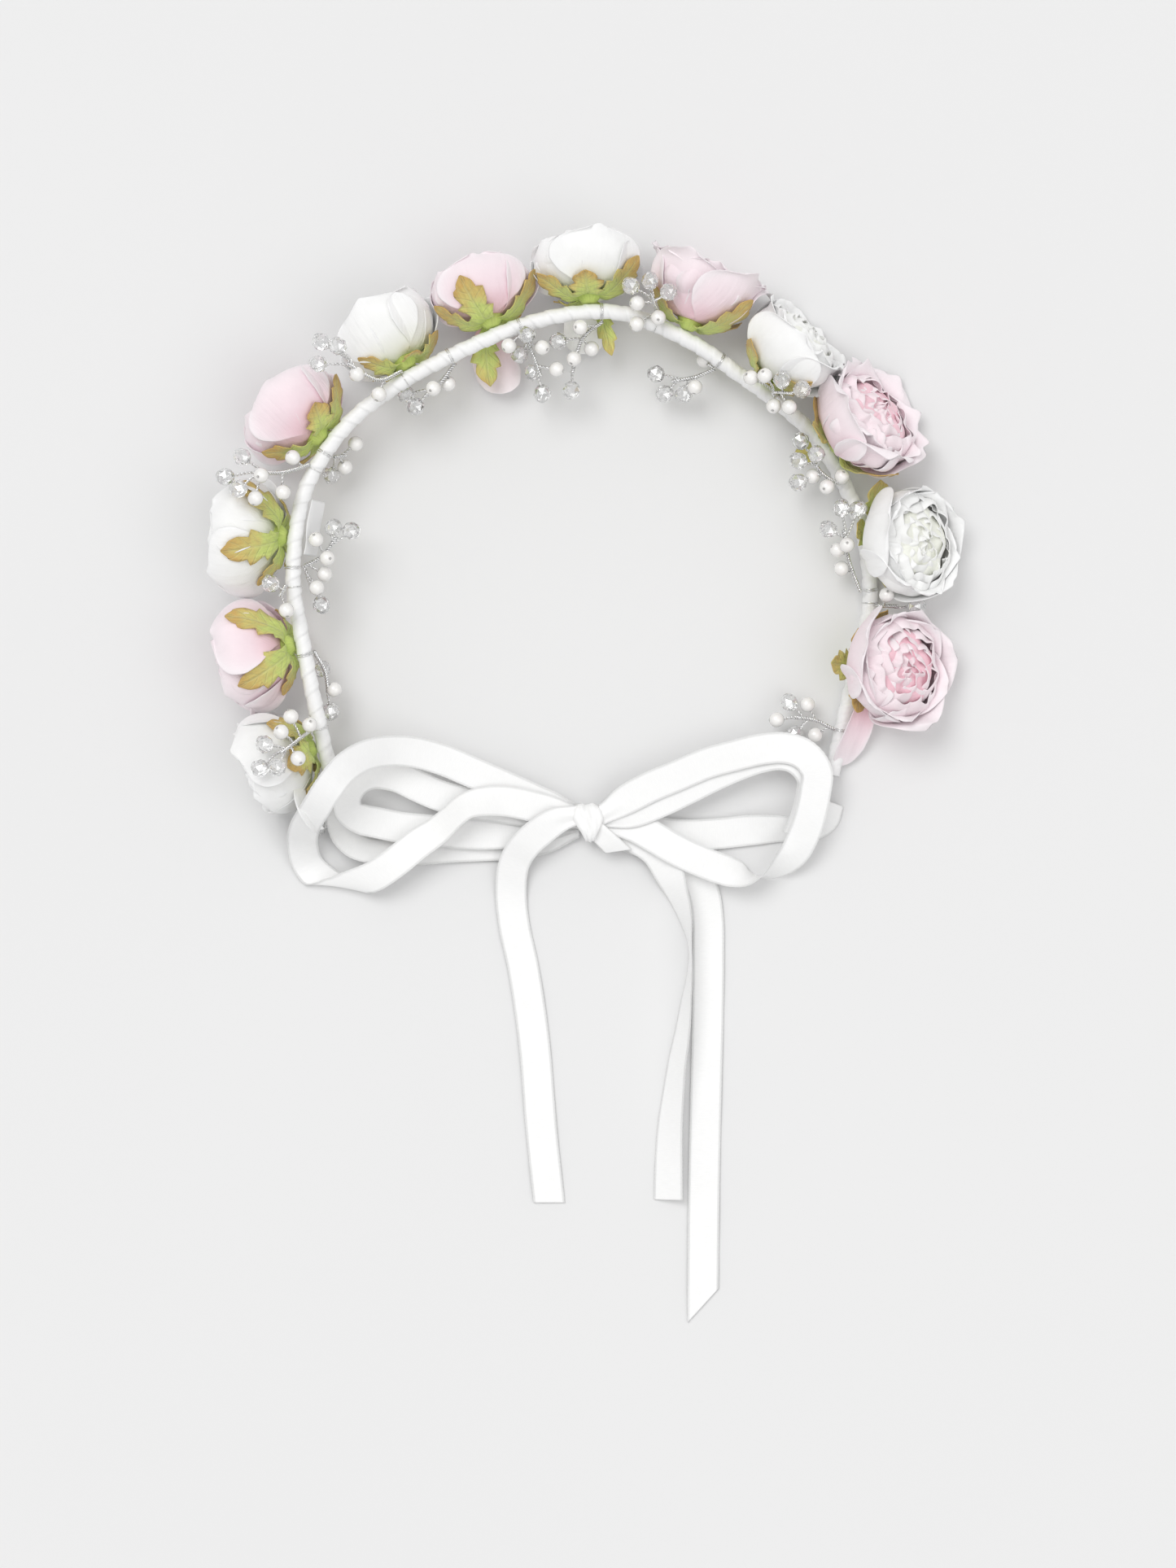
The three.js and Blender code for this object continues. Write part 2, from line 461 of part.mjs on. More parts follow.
function ribbonGeometry(stations) {
  const route = new THREE.CatmullRomCurve3(stations.map(point));
  const lean = new THREE.CatmullRomCurve3(stations.map(([, , , bearing, tilt]) => (
    new THREE.Vector3(radians(bearing), radians(tilt), 0)
  )));
  const count = Math.round(route.getLength() / RIBBON_STEP);
  const places = Array.from({ length: count + 1 }, (_, i) => {
    const t = route.getUtoTmapping(i / count);
    const turn = lean.getPoint(t);
    return ribbonStation(route.getPoint(t), route.getTangent(t), [turn.x, turn.y]);
  });
  return strip(places, RIBBON_THICKNESS);
}

Object.entries(RIBBONS).forEach(([name, stations]) => {
  addPiece(`ribbon_${name}`, ribbonGeometry(stations), satin);
});

// The knot is the ribbon's own turns about the bow: a crowned block that tapers towards the wearer.
const KNOT = { x: 2, y: -82.5, width: 9.4, length: 12.5, height: 9.6, low: 1.4 };
const knot = addPiece('ribbon_knot', new THREE.SphereGeometry(1, 10, 6), satin);
const knotPlaces = knot.geometry.attributes.position;
const squared = (v) => Math.sign(v) * Math.abs(v) ** 0.55;
for (let i = 0; i < knotPlaces.count; i += 1) {
  knotPlaces.setXYZ(
    i,
    squared(knotPlaces.getX(i)) * KNOT.width / 2,
    squared(knotPlaces.getY(i)) * KNOT.length / 2,
    squared(knotPlaces.getZ(i)) * KNOT.height / 2,
  );
}
knot.position.set(KNOT.x, KNOT.y, KNOT.low + KNOT.height / 2);

export default crown;
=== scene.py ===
"""A child's flower crown on a pale floor: satin-wrapped band, twelve fabric flowers, pearl and crystal
sprigs on twisted wire, and a satin ribbon bow. Tables are in millimetres, the scene is in metres."""

import math
import random

import bpy
import numpy as np
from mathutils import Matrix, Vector


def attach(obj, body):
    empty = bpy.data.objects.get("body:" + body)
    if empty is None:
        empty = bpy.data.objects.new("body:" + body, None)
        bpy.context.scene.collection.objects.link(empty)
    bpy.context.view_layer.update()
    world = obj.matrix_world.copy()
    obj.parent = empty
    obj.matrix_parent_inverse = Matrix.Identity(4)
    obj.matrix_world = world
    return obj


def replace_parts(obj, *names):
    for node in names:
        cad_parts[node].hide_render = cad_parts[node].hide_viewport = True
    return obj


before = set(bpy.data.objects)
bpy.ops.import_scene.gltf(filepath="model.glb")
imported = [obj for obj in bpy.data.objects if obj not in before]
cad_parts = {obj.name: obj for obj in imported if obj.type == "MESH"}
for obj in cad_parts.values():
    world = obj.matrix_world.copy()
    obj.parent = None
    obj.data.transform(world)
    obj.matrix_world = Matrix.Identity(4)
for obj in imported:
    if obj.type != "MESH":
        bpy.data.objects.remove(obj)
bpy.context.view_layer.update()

MM = 0.001
CENTRE = np.array([0.3, -10.3, 0.1])  # the band's middle, from the part's origin
WRAP_RADIUS = 2.5  # the wrapped band's, as in the CAD
HUB_LENGTH = 3.0
GAP = 0.35  # left between neighbouring pieces
FULL_TURN = 2 * np.pi


# ---- Camera, floor and lights ----

VIEW_CENTRE = (CENTRE + [1.7, -69.8, 0]) * MM
VIEW_HEIGHT = 0.511  # metres from the top to the bottom of the picture, at the crown's middle height
CROWN_MIDDLE = 0.015
CAMERA_DISTANCE = 2.6
SENSOR_HEIGHT = 36

camera = bpy.data.objects.new("camera", bpy.data.cameras.new("camera"))
bpy.context.scene.collection.objects.link(camera)
camera.data.sensor_fit = "VERTICAL"
camera.data.sensor_height = SENSOR_HEIGHT
camera.data.lens = SENSOR_HEIGHT * (CAMERA_DISTANCE - CROWN_MIDDLE) / VIEW_HEIGHT
camera.data.clip_end = 20
camera.location = (VIEW_CENTRE[0], VIEW_CENTRE[1], CAMERA_DISTANCE)
bpy.context.scene.camera = camera
bpy.context.scene.view_settings.view_transform = "Standard"


# ---- Node helpers ----


class Nodes:
    """A short way to write a material's node tree."""

    def __init__(self, name, **sockets):
        self.material = bpy.data.materials.new(name)
        self.material.use_nodes = True
        self.tree = self.material.node_tree
        self.shader = self.tree.nodes["Principled BSDF"]
        for socket, value in sockets.items():
            self.shader.inputs[socket.replace("_", " ")].default_value = value

    def link(self, source, target):
        self.tree.links.new(source, target)

    def plug(self, source, socket):
        self.link(source, self.shader.inputs[socket])

    def add(self, kind, values=None, **settings):
        node = self.tree.nodes.new("ShaderNode" + kind)
        for key, value in settings.items():
            setattr(node, key, value)
        for socket, value in (values or {}).items():
            if isinstance(value, bpy.types.NodeSocket):
                self.link(value, node.inputs[socket])
            else:
                node.inputs[socket].default_value = value
        return node

    def attribute(self, name, output="Fac"):
        return self.add("Attribute", attribute_name=name).outputs[output]

    def place(self):
        return self.add("TexCoord").outputs["Object"]

    def noise(self, scale, detail=3.0, vector=None, rough=0.55):
        values = {"Scale": scale, "Detail": detail, "Roughness": rough}
        values["Vector"] = self.place() if vector is None else vector
        return self.add("TexNoise", values).outputs["Fac"]

    def wave(self, vector, scale, direction, distortion=0.0):
        values = {"Vector": vector, "Scale": scale, "Distortion": distortion}
        return self.add("TexWave", values, bands_direction=direction).outputs["Fac"]

    def math(self, operation, a, b=0.0, c=0.0):
        return self.add("Math", {0: a, 1: b, 2: c}, operation=operation).outputs[0]

    def plus(self, a, b):
        return self.math("ADD", a, b)

    def times(self, a, b):
        return self.math("MULTIPLY", a, b)

    def size(self, a):
        return self.math("ABSOLUTE", a)

    def ramp(self, factor, *stops):
        node = self.add("ValToRGB", {"Fac": factor})
        while len(node.color_ramp.elements) < len(stops):
            node.color_ramp.elements.new(0.5)
        for element, (position, colour) in zip(node.color_ramp.elements, stops, strict=True):
            element.position = position
            element.color = (*colour, 1) if len(colour) == 3 else colour
        return node.outputs["Color"]

    def shade(self, factor, low, high, start=0.3, stop=0.7):
        """A grey that goes from low to high as the factor goes from start to stop."""
        return self.ramp(factor, (start, grey(low)), (stop, grey(high)))

    def mix(self, factor, a, b, blend="MIX"):
        node = self.add("Mix", {0: factor, 6: a, 7: b}, data_type="RGBA", blend_type=blend)
        return node.outputs[2]

    def scaled(self, vector, scale):
        return self.add("Mapping", {"Vector": vector, "Scale": scale}).outputs[0]

    def bump(self, height, strength, distance, under=None):
        values = {"Height": height, "Strength": strength, "Distance": distance}
        if under is not None:
            values["Normal"] = under
        return self.add("Bump", values).outputs["Normal"]


def grey(value):
    return (value, value, value)


# ---- Materials ----


def petal_cloth(name, outer, heart, rim, foot):
    """Woven petal cloth: pale outer petals, a deeper heart, a paler rim, side edges painted lighter as a
    painted highlight, and a tinted foot.
    """
    n = Nodes(name, Roughness=0.62, Sheen_Weight=0.35, Sheen_Roughness=0.45, Specular_IOR_Level=0.25)
    along, deep = n.attribute("along"), n.attribute("deep")
    base = n.mix(deep, (*outer, 1), (*heart, 1))
    # The colour fades to the rim colour along the petal as the cloth's own fade, and at the side edges as a
    # painted highlight.
    painted_edge_highlight = n.math("POWER", n.size(n.attribute("side")), 7.0)
    tip = n.shade(n.plus(along, n.times(painted_edge_highlight, 0.45)), 0, 1, 0.35, 1.0)
    edged = n.mix(n.times(tip, 0.9), base, (*rim, 1))
    root = n.shade(along, 1, 0, 0.0, 0.5)
    footed = n.mix(n.times(root, 0.8), edged, (*foot, 1))
    patches = n.shade(n.noise(90, 2), 0.93, 1.0)
    n.plug(n.mix(1.0, footed, patches, "MULTIPLY"), "Base Color")
    cloth = n.attribute("cloth", "Vector")
    weave = n.plus(n.wave(cloth, 0.9, "X", 0.6), n.wave(cloth, 0.9, "Y", 0.6))
    pleats = n.noise(1.0, 3, n.scaled(cloth, (0.5, 0.09, 1)))
    n.plug(n.bump(pleats, 0.4, 0.0008, n.bump(weave, 0.16, 0.0001)), "Normal")
    return n.material


def leaf_cloth():
    """Printed calyx cloth: yellow-green with ochre tips and edges, a pale midrib and side veins."""
    n = Nodes("calyx_leaf_cloth", Roughness=0.6, Sheen_Weight=0.2, Specular_IOR_Level=0.3)
    along, side = n.attribute("along"), n.attribute("side")
    edge = n.math("POWER", n.size(side), 3.0)
    reach = n.plus(n.times(along, 1.05), n.times(edge, 0.16))
    blotches = n.times(n.math("SUBTRACT", n.noise(260, 4), 0.5), 0.75)
    body = n.ramp(
        n.plus(reach, blotches),
        (0.0, (0.56, 0.70, 0.17)),
        (0.45, (0.64, 0.72, 0.22)),
        (0.72, (0.70, 0.60, 0.20)),
        (1.0, (0.66, 0.44, 0.14)),
    )
    slant = n.math("SUBTRACT", n.times(along, 7.0), n.times(n.size(side), 1.4))
    midrib = n.shade(n.size(side), 1, 0, 0.0, 0.13)
    veins = n.shade(n.math("PINGPONG", slant, 0.5), 1, 0, 0.0, 0.16)
    lines = n.math("MAXIMUM", midrib, n.times(veins, 0.55))
    light = n.mix(n.times(lines, 0.3), body, (0.76, 0.80, 0.40, 1))
    cloth = n.attribute("cloth", "Vector")
    fibres = n.noise(1.0, 4, n.scaled(cloth, (1.5, 0.22, 1)), 0.65)
    n.plug(n.mix(1.0, light, n.shade(fibres, 0.80, 1.0, 0.32, 0.68), "MULTIPLY"), "Base Color")
    woven = n.bump(n.wave(cloth, 1.0, "DIAGONAL", 0.4), 0.15, 0.0001)
    ribbed = n.bump(fibres, 0.5, 0.0005, woven)
    veined = n.bump(n.math("SUBTRACT", 1.0, lines), 0.6, 0.0005, ribbed)
    n.plug(n.bump(n.noise(420, 4), 0.35, 0.0004, veined), "Normal")
    return n.material


def satin_cloth(name, base, ribs):
    """Satin with its gloss broken by fine cross threads and slow creases, and a stitched selvedge."""
    n = Nodes(name, Roughness=0.38, Sheen_Weight=0.35, Sheen_Roughness=0.3, Specular_IOR_Level=0.55)
    cloth, side = n.attribute("cloth", "Vector"), n.attribute("side")
    streaks = n.noise(1.0, 4, n.scaled(cloth, (0.35, 3.2, 1)))
    tone = n.ramp(streaks, (0.3, tuple(0.965 * c for c in base)), (0.7, base))
    edge = n.times(n.shade(n.size(side), 0, 1, 0.86, 0.9), n.wave(cloth, ribs, "Y"))
    n.plug(n.mix(n.times(edge, 0.22), tone, (*[0.8 * c for c in base], 1)), "Base Color")
    n.plug(n.shade(streaks, 0.30, 0.44, 0.25, 0.75), "Roughness")
    threads = n.bump(n.noise(1.0, 2, n.scaled(cloth, (0.8, 9.0, 1))), 0.22, 0.00008)
    stitched = n.bump(edge, 0.5, 0.00015, threads)
    creases = n.noise(1.0, 3, n.scaled(cloth, (0.16, 0.12, 1)))
    n.plug(n.bump(creases, 0.25, 0.0012, stitched), "Normal")
    return n.material


def silver_wire():
    n = Nodes("twisted_silver_wire", Metallic=1.0, Roughness=0.24)
    n.plug(n.shade(n.noise(700, 3), 0.72, 0.97), "Base Color")
    n.plug(n.shade(n.noise(1500, 2), 0.16, 0.34), "Roughness")
    return n.material


def pearl_lacquer():
    n = Nodes("pearl_lacquer", Roughness=0.22, Coat_Weight=1.0, Coat_Roughness=0.05, Specular_IOR_Level=0.7)
    turned_away = n.add("LayerWeight", {"Blend": 0.35}).outputs["Facing"]
    # The base colour turns from off-white to grey as the surface turns away from the camera: painted shade at
    # the pearl's rim.
    colour_with_painted_rim_shade = n.ramp(
        turned_away, (0.0, (0.96, 0.945, 0.92)), (0.5, (0.87, 0.855, 0.835)), (1.0, (0.60, 0.59, 0.60))
    )
    n.plug(n.mix(1.0, colour_with_painted_rim_shade, n.shade(n.noise(500, 2), 0.95, 1.0), "MULTIPLY"), "Base Color")
    n.plug(n.shade(n.noise(900, 2), 0.16, 0.28), "Roughness")
    return n.material


def cut_crystal():
    n = Nodes("cut_crystal", Roughness=0.02, IOR=1.58, Transmission_Weight=0.82, Metallic=0.34)
    n.plug(n.shade(n.noise(300, 2), 0.95, 1.0), "Base Color")
    n.plug(n.shade(n.noise(1200, 2), 0.0, 0.06, 0.35, 0.8), "Roughness")
    return n.material


def core_steel():
    n = Nodes("core_spring_steel", Metallic=1.0, Roughness=0.3)
    drawn = n.noise(1.0, 3, n.scaled(n.place(), (600, 600, 40)))
    n.plug(n.shade(drawn, 0.45, 0.62), "Base Color")
    n.plug(n.shade(drawn, 0.25, 0.4), "Roughness")
    return n.material


def label_cloth():
    n = Nodes("label_tape_cloth", Roughness=0.55, Sheen_Weight=0.2)
    cloth = n.attribute("cloth", "Vector")
    warp, weft = n.wave(cloth, 1.4, "X"), n.wave(cloth, 1.4, "Y")
    n.plug(n.shade(warp, 0.90, 0.95, 0.2, 0.8), "Base Color")
    n.plug(n.bump(n.plus(warp, weft), 0.3, 0.0001), "Normal")
    return n.material


PETALS = {
    "white": petal_cloth(
        "white_petal_cloth",
        outer=(0.955, 0.955, 0.945), heart=(0.955, 0.965, 0.87),
        rim=(0.975, 0.975, 0.975), foot=(0.86, 0.88, 0.66),
    ),
    "pink": petal_cloth(
        "pink_petal_cloth",
        outer=(0.935, 0.755, 0.81), heart=(0.95, 0.56, 0.65),
        rim=(0.97, 0.91, 0.935), foot=(0.93, 0.54, 0.60),
    ),
}
SELVEDGE_RIBS = 2.6
LEAF = leaf_cloth()
RIBBON = satin_cloth("ribbon_satin", (0.955, 0.955, 0.95), SELVEDGE_RIBS)
WRAP = satin_cloth("band_wrap_satin", (0.93, 0.93, 0.93), SELVEDGE_RIBS)
SILVER = silver_wire()
PEARL = pearl_lacquer()
CRYSTAL = cut_crystal()
CORE_STEEL = core_steel()
LABEL_CLOTH = label_cloth()


# ---- Curves and meshes ----


class Route:
    """A centripetal Catmull-Rom curve through its points."""

    def __init__(self, points):
        self.points = np.array(points, float)
        fine = np.linspace(0, 1, 200 * len(points) + 1)
        places = self.at(fine)
        steps = np.linalg.norm(np.diff(places, axis=0), axis=1)
        self.fine, self.lengths = fine, np.concatenate([[0], np.cumsum(steps)])
        self.length = self.lengths[-1]

    def at(self, t):
        p, t = self.points, np.atleast_1d(np.asarray(t, float))
        last = len(p) - 1
        padded = np.vstack([2 * p[0] - p[1], p, 2 * p[-1] - p[-2]])
        i = np.minimum((t * last).astype(int), last - 1)
        w = (t * last - i)[:, None]
        p0, p1, p2, p3 = (padded[i + k] for k in range(4))
        spans = (p1 - p0, p2 - p1, p3 - p2)
        d0, d1, d2 = (np.linalg.norm(span, axis=1, keepdims=True) ** 0.5 for span in spans)
        d1 = np.where(d1 < 1e-4, 1.0, d1)
        d0, d2 = np.where(d0 < 1e-4, d1, d0), np.where(d2 < 1e-4, d1, d2)
        m1 = ((p1 - p0) / d0 - (p2 - p0) / (d0 + d1) + (p2 - p1) / d1) * d1
        m2 = ((p2 - p1) / d1 - (p3 - p1) / (d1 + d2) + (p3 - p2) / d2) * d1
        c2, c3 = -3 * p1 + 3 * p2 - 2 * m1 - m2, 2 * p1 - 2 * p2 + m1 + m2
        return p1 + w * (m1 + w * (c2 + w * c3))

    def share(self, along):
        """The curve's own parameter at shares of its length."""
        return np.interp(np.atleast_1d(along) * self.length, self.lengths, self.fine)

    def place(self, along):
        return self.at(self.share(along))

    def run(self, along):
        t = self.share(along)
        step = self.at(np.minimum(t + 1e-4, 1)) - self.at(np.maximum(t - 1e-4, 0))
        return step / np.linalg.norm(step, axis=1, keepdims=True)


def unit(v):
    v = np.asarray(v, float)
    return v / np.maximum(np.linalg.norm(v, axis=-1, keepdims=True), 1e-12)


def joined(*parts):
    """Brings the parts to one shape and joins them as the last axis."""
    return np.stack(np.broadcast_arrays(*parts), axis=-1)


def turned(radial, axial, angle):
    """Points at a radius and an angle round the middle axis, and at a place along it."""
    return joined(radial * np.cos(angle), axial, radial * np.sin(angle))


def swung(x, axial, z, turn):
    """Points turned together round the middle axis."""
    return joined(x * math.cos(turn) - z * math.sin(turn), axial, x * math.sin(turn) + z * math.cos(turn))


def circle(angle, first, second):
    return np.cos(angle) * first + np.sin(angle) * second


def lattice(rows, columns):
    """Shares from 0 to 1 down the rows and from -1 to 1 across the columns."""
    return np.linspace(0, 1, rows)[:, None], np.linspace(-1, 1, columns)[None]


def phases(rng, count):
    return [rng.uniform(0, 6.28) for _ in range(count)]


class Sheets:
    """Collects grids of points, with their marks for the materials, into one mesh."""

    def __init__(self):
        self.points, self.faces = [], []
        self.marks = {"along": [], "side": [], "deep": [], "cloth": []}
        self.count = 0

    def grid(self, points, along=0.0, side=0.0, deep=0.0, cloth=None, wrap=False):
        rows, columns = points.shape[:2]
        flat = points.reshape(-1, 3)
        self.points.append(flat)
        for name, value in (("along", along), ("side", side), ("deep", deep)):
            self.marks[name].append(np.broadcast_to(value, (rows, columns)).reshape(-1))
        self.marks["cloth"].append(flat if cloth is None else cloth.reshape(-1, 3))
        for r in range(rows - 1):
            for c in range(columns if wrap else columns - 1):
                a, b = r * columns + c, r * columns + (c + 1) % columns
                corners = (a, b, b + columns, a + columns)
                self.faces.append(tuple(self.count + k for k in corners))
        self.count += len(flat)
        return self.count - len(flat)

    def plain(self, points):
        """Adds points that carry no marks, for faces made by hand."""
        self.points.append(points)
        for name in ("along", "side", "deep"):
            self.marks[name].append(np.zeros(len(points)))
        self.marks["cloth"].append(points)
        self.count += len(points)
        return self.count - len(points)

    def close(self, start, rows, columns, first, last):
        """Closes both ends of a wrapped grid with fans to a centre point each."""
        for row, centre, flip in ((0, first, True), (rows - 1, last, False)):
            ring = [start + row * columns + k for k in range(columns)]
            middle = self.plain(np.array([centre], float))
            for a, b in zip(ring, ring[1:] + ring[:1], strict=True):
                self.faces.append((b, a, middle) if flip else (a, b, middle))

    def build(self, name, material, body="crown", slot=None, thickness=None, smooth=True, levels=0):
        mesh = bpy.data.meshes.new(name)
        places = np.concatenate(self.points) * MM
        mesh.from_pydata(places.tolist(), [], self.faces)
        for mark, values in self.marks.items():
            joined = np.concatenate(values).astype(np.float32)
            vector = mark == "cloth"
            attribute = mesh.attributes.new(mark, "FLOAT_VECTOR" if vector else "FLOAT", "POINT")
            attribute.data.foreach_set("vector" if vector else "value", joined.ravel())
        mesh.polygons.foreach_set("use_smooth", [smooth] * len(mesh.polygons))
        mesh.update()
        piece = bpy.data.objects.new(name, mesh)
        bpy.context.scene.collection.objects.link(piece)
        mesh.materials.append(material)
        if thickness:
            shell = piece.modifiers.new("thickness", "SOLIDIFY")
            shell.thickness, shell.offset = thickness * MM, 0
        if levels:
            smoothing = piece.modifiers.new("smoothing", "SUBSURF")
            smoothing.levels = smoothing.render_levels = levels
        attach(piece, body)
        return piece


def carried(line, start):
    """Two directions square to a line at each of its points, carried along it without a twist."""
    runs = unit(np.gradient(line, axis=0))
    normals = [unit(np.cross(runs[0], start))]
    for run in runs[1:]:
        normals.append(unit(normals[-1] - run * np.dot(normals[-1], run)))
    return np.array(normals), np.cross(runs, normals)


def tube(sheets, line, radius, sides=5):
    """A round tube along a line of points."""
    normals, others = carried(line, [0.31, 0.52, 0.79])
    angle = np.linspace(0, FULL_TURN, sides, endpoint=False)[None, :, None]
    rings = line[:, None] + radius * circle(angle, normals[:, None], others[:, None])
    sheets.close(sheets.grid(rings, wrap=True), len(line), sides, line[0], line[-1])


# ---- Ribbons: the bow and its tails ----

RIBBON_WIDTH = 10.0
CLOTH_THICKNESS = 0.3  # of the satin, and of the leaves
RIBBON_STEP = 0.45  # between the rows of its mesh
RIBBON_COLUMNS = 15
GATHER_LENGTH = 7.0  # how far from the knot the ribbon is gathered
KNOT_PLACE = np.array([2.0, -82.0])  # from the band's middle
KNOT_NEAR = 8.0  # a ribbon's end that is this near the knot is held in it
KNOT_REACH = 2.2  # how far a ribbon runs on inside the knot
PICOT_PITCH = 1.35  # from one stitch of the edge to the next

# A station is [x, y, z, bearing, tilt]: the ribbon's middle, and the direction from one edge to the
# other as its bearing in plan from +X and its rise, in degrees.
RIBBONS = {
    "left_outer_loop": [
        [-3.4, -79, 6.4, -90, 0], [-13, -76, 6.8, -110, 0], [-24.5, -71, 7.6, -115, 0],
        [-36, -66, 9, -113, 0], [-45.5, -62, 11, -111, 0], [-54.5, -59.5, 14, -104, -5],
        [-63, -59, 18, -92, -8], [-70.5, -60.5, 23, -78, -10], [-77, -64.5, 27.5, -61, -15],
        [-82, -70.5, 29.5, -44, -22], [-86.5, -77.5, 27, -32, -26], [-90.5, -84, 18, -15, -20],
        [-91.5, -90.5, 6, 0, -8], [-90, -96, 1.6, 17, 0], [-85.5, -100.5, 1.2, 12, 0],
        [-79.5, -103.5, 3.2, -9, 0], [-73.5, -102, 6.2, -30, 0], [-67.5, -99.5, 8.4, -45, 3],
        [-61.5, -95.5, 9.8, -53, 5], [-54, -89.5, 10.4, -52, 10], [-47.5, -85, 11, -48, 25],
        [-42.5, -80.5, 11.6, -48, 34], [-38, -77, 11.8, -60, 30], [-32, -75.5, 11.2, -76, 18],
        [-24.5, -75.5, 9.8, -90, 6], [-14.5, -77.5, 8.3, -98, 0], [-3.4, -80, 7.6, -90, 0],
    ],
    "left_inner_loop": [
        [-3.4, -81, 5.2, -90, 0], [-16.5, -79, 5.2, -98, 0], [-27.5, -77.5, 5.4, -100, 0],
        [-38, -76, 5.6, -108, 0], [-47, -73.5, 6, -112, 0], [-54, -70.5, 6.8, -115, 0],
        [-60.5, -67.5, 8, -115, 0], [-68, -66.5, 10, -95, -10], [-73.5, -69, 12, -60, -25],
        [-76.5, -73.5, 12, -25, -32], [-76.5, -78, 9.8, 20, -28], [-73, -81, 7.6, 65, -15],
        [-67, -82.5, 6.2, 80, -5], [-59.5, -84, 5.4, 84, 0], [-49.5, -85, 4.6, 88, 0],
        [-40, -86, 4, 90, 0], [-27.5, -86, 4, 92, 0], [-16.5, -84.5, 4, 94, 0], [-3.4, -82.5, 4, 90, 0],
    ],
    "left_tie": [
        [-81.2, -71, 9.6, 175, -20], [-80, -76, 6.5, 178, -10], [-79, -82, 3.4, 195, 0],
        [-77, -87, 3.2, 225, 20], [-72.5, -91, 3.8, 252, 38], [-63.5, -92, 3.6, 270, 38],
        [-54, -91.5, 2.2, 272, 15], [-43.5, -90.5, 1.6, 272, 4], [-33, -90, 1.4, 272, 0],
        [-22.5, -89.5, 1.4, 270, 0], [-13.5, -88, 1.8, 272, 0], [-3.4, -85, 2.8, 270, 0],
    ],
    "right_outer_loop": [
        [7.4, -79.5, 9, 90, 0], [13, -75.5, 9.4, 113, 4], [21.5, -71, 9.8, 113, 6],
        [31, -67, 10.2, 112, 6], [40.5, -63, 10.6, 107, 5], [49.5, -60.5, 11, 105, 5],
        [58, -58.5, 11.4, 98, 3], [65.5, -58, 11.8, 86, 2], [71, -59.5, 12.2, 58, 0],
        [74.5, -62.5, 12.4, 28, 0], [76.5, -66.5, 12.2, 8, 0], [76, -72, 11.6, -12, 0],
        [75, -77.5, 10.8, -16, 0], [73.5, -83, 9.8, -19, 0], [71.5, -88, 8.6, -25, -4],
        [69, -92.5, 7.4, -34, -20], [65, -96.5, 6.6, -47, -45], [60.5, -99.5, 6, -60, -75],
        [56, -100.5, 6, -80, -105], [51.5, -99.5, 6.4, -102, -145], [46.5, -98, 6.8, -107, -170],
        [41, -96, 7.2, -110, -180], [35, -93.5, 7.6, -113, -180], [29, -90.5, 7.6, -117, -180],
        [23, -87, 7.4, -118, -180], [16, -83.5, 7, -105, -180], [7.4, -82, 6.6, -90, -180],
    ],
    "right_inner_loop": [
        [7.4, -80.5, 7.8, 90, 0], [15, -79.5, 8.2, 112, 4], [24.5, -76, 8.5, 113, 6],
        [34, -71.5, 8.8, 112, 6], [43, -67, 9.2, 109, 5], [51, -63.5, 9.6, 106, 5],
        [58.5, -61, 10, 98, 3], [64.5, -60.2, 10.4, 86, 2], [69.5, -61.5, 10.8, 58, 0],
        [73, -64.5, 11, 28, 0], [75, -68.5, 10.6, 8, 0], [74.6, -73, 10, -12, 0],
        [73.6, -78, 9.2, -16, 0], [72, -83, 8.2, -19, 0], [70, -87.5, 7.2, -25, -4],
    ],
    "right_tie": [
        [7.4, -83.5, 2.2, 90, 0], [18.5, -84, 2.2, 86, 0], [27, -86, 1.8, 84, 0],
        [35.5, -86.5, 1.4, 90, 0], [45, -86, 1.4, 94, 0], [54, -85, 2, 95, 8], [61.5, -84.5, 3, 92, 26],
        [68.5, -84.5, 3.6, 90, 38], [74.5, -84.5, 3.6, 95, 38], [80, -81.5, 4, 130, 42],
        [82, -76, 4.6, 160, 45],
    ],
    "left_tail": [
        [-3.4, -79, 9.4, -90, 0], [-8, -81.5, 9.4, -60, -8], [-13.5, -85, 9, -50, -10],
        [-19, -90, 7.6, -40, -8], [-22.5, -96, 4.4, -20, -3], [-23.5, -105, 1.4, -6, 0],
        [-22.5, -116, 0.6, 4, 0], [-19.5, -130, 0.6, 6, 0], [-16, -154, 0.6, 7, 0],
        [-13.5, -184, 0.6, 5, 0], [-11, -207, 0.6, 0, 0],
    ],
    "middle_tail": [
        [7.4, -84, 4.8, 90, 0], [15, -86.5, 5, 75, 0], [23.5, -91.5, 5, 55, 0], [28, -98.5, 4.8, 32, 15],
        [30.5, -104.5, 4.8, 20, 42], [33, -112, 5, 8, 62], [35.2, -124, 5.3, 0, 86],
        [33.5, -144.5, 5, -6, 68], [30.5, -164, 4.4, -6, 54], [28.5, -183.5, 3.3, -5, 36],
        [28, -206, 2.4, 0, 24],
    ],
    "right_tail": [
        [7.4, -85, 3.5, 90, 0], [17, -88, 3.4, 74, 0], [27.5, -91.5, 3.2, 64, 0], [35, -97, 2.4, 40, 0],
        [39.5, -105, 1.4, 20, 0], [41, -114, 0.7, 8, 0], [41.2, -125, 0.6, 0, 0],
        [41, -144.5, 0.6, -1, 0], [40.3, -174, 0.6, -1, 0], [39.7, -203.5, 0.6, 0, 0],
        [39.4, -232, 0.6, 12, 0], [39.4, -240.7, 0.6, 48, 0],
    ],
}


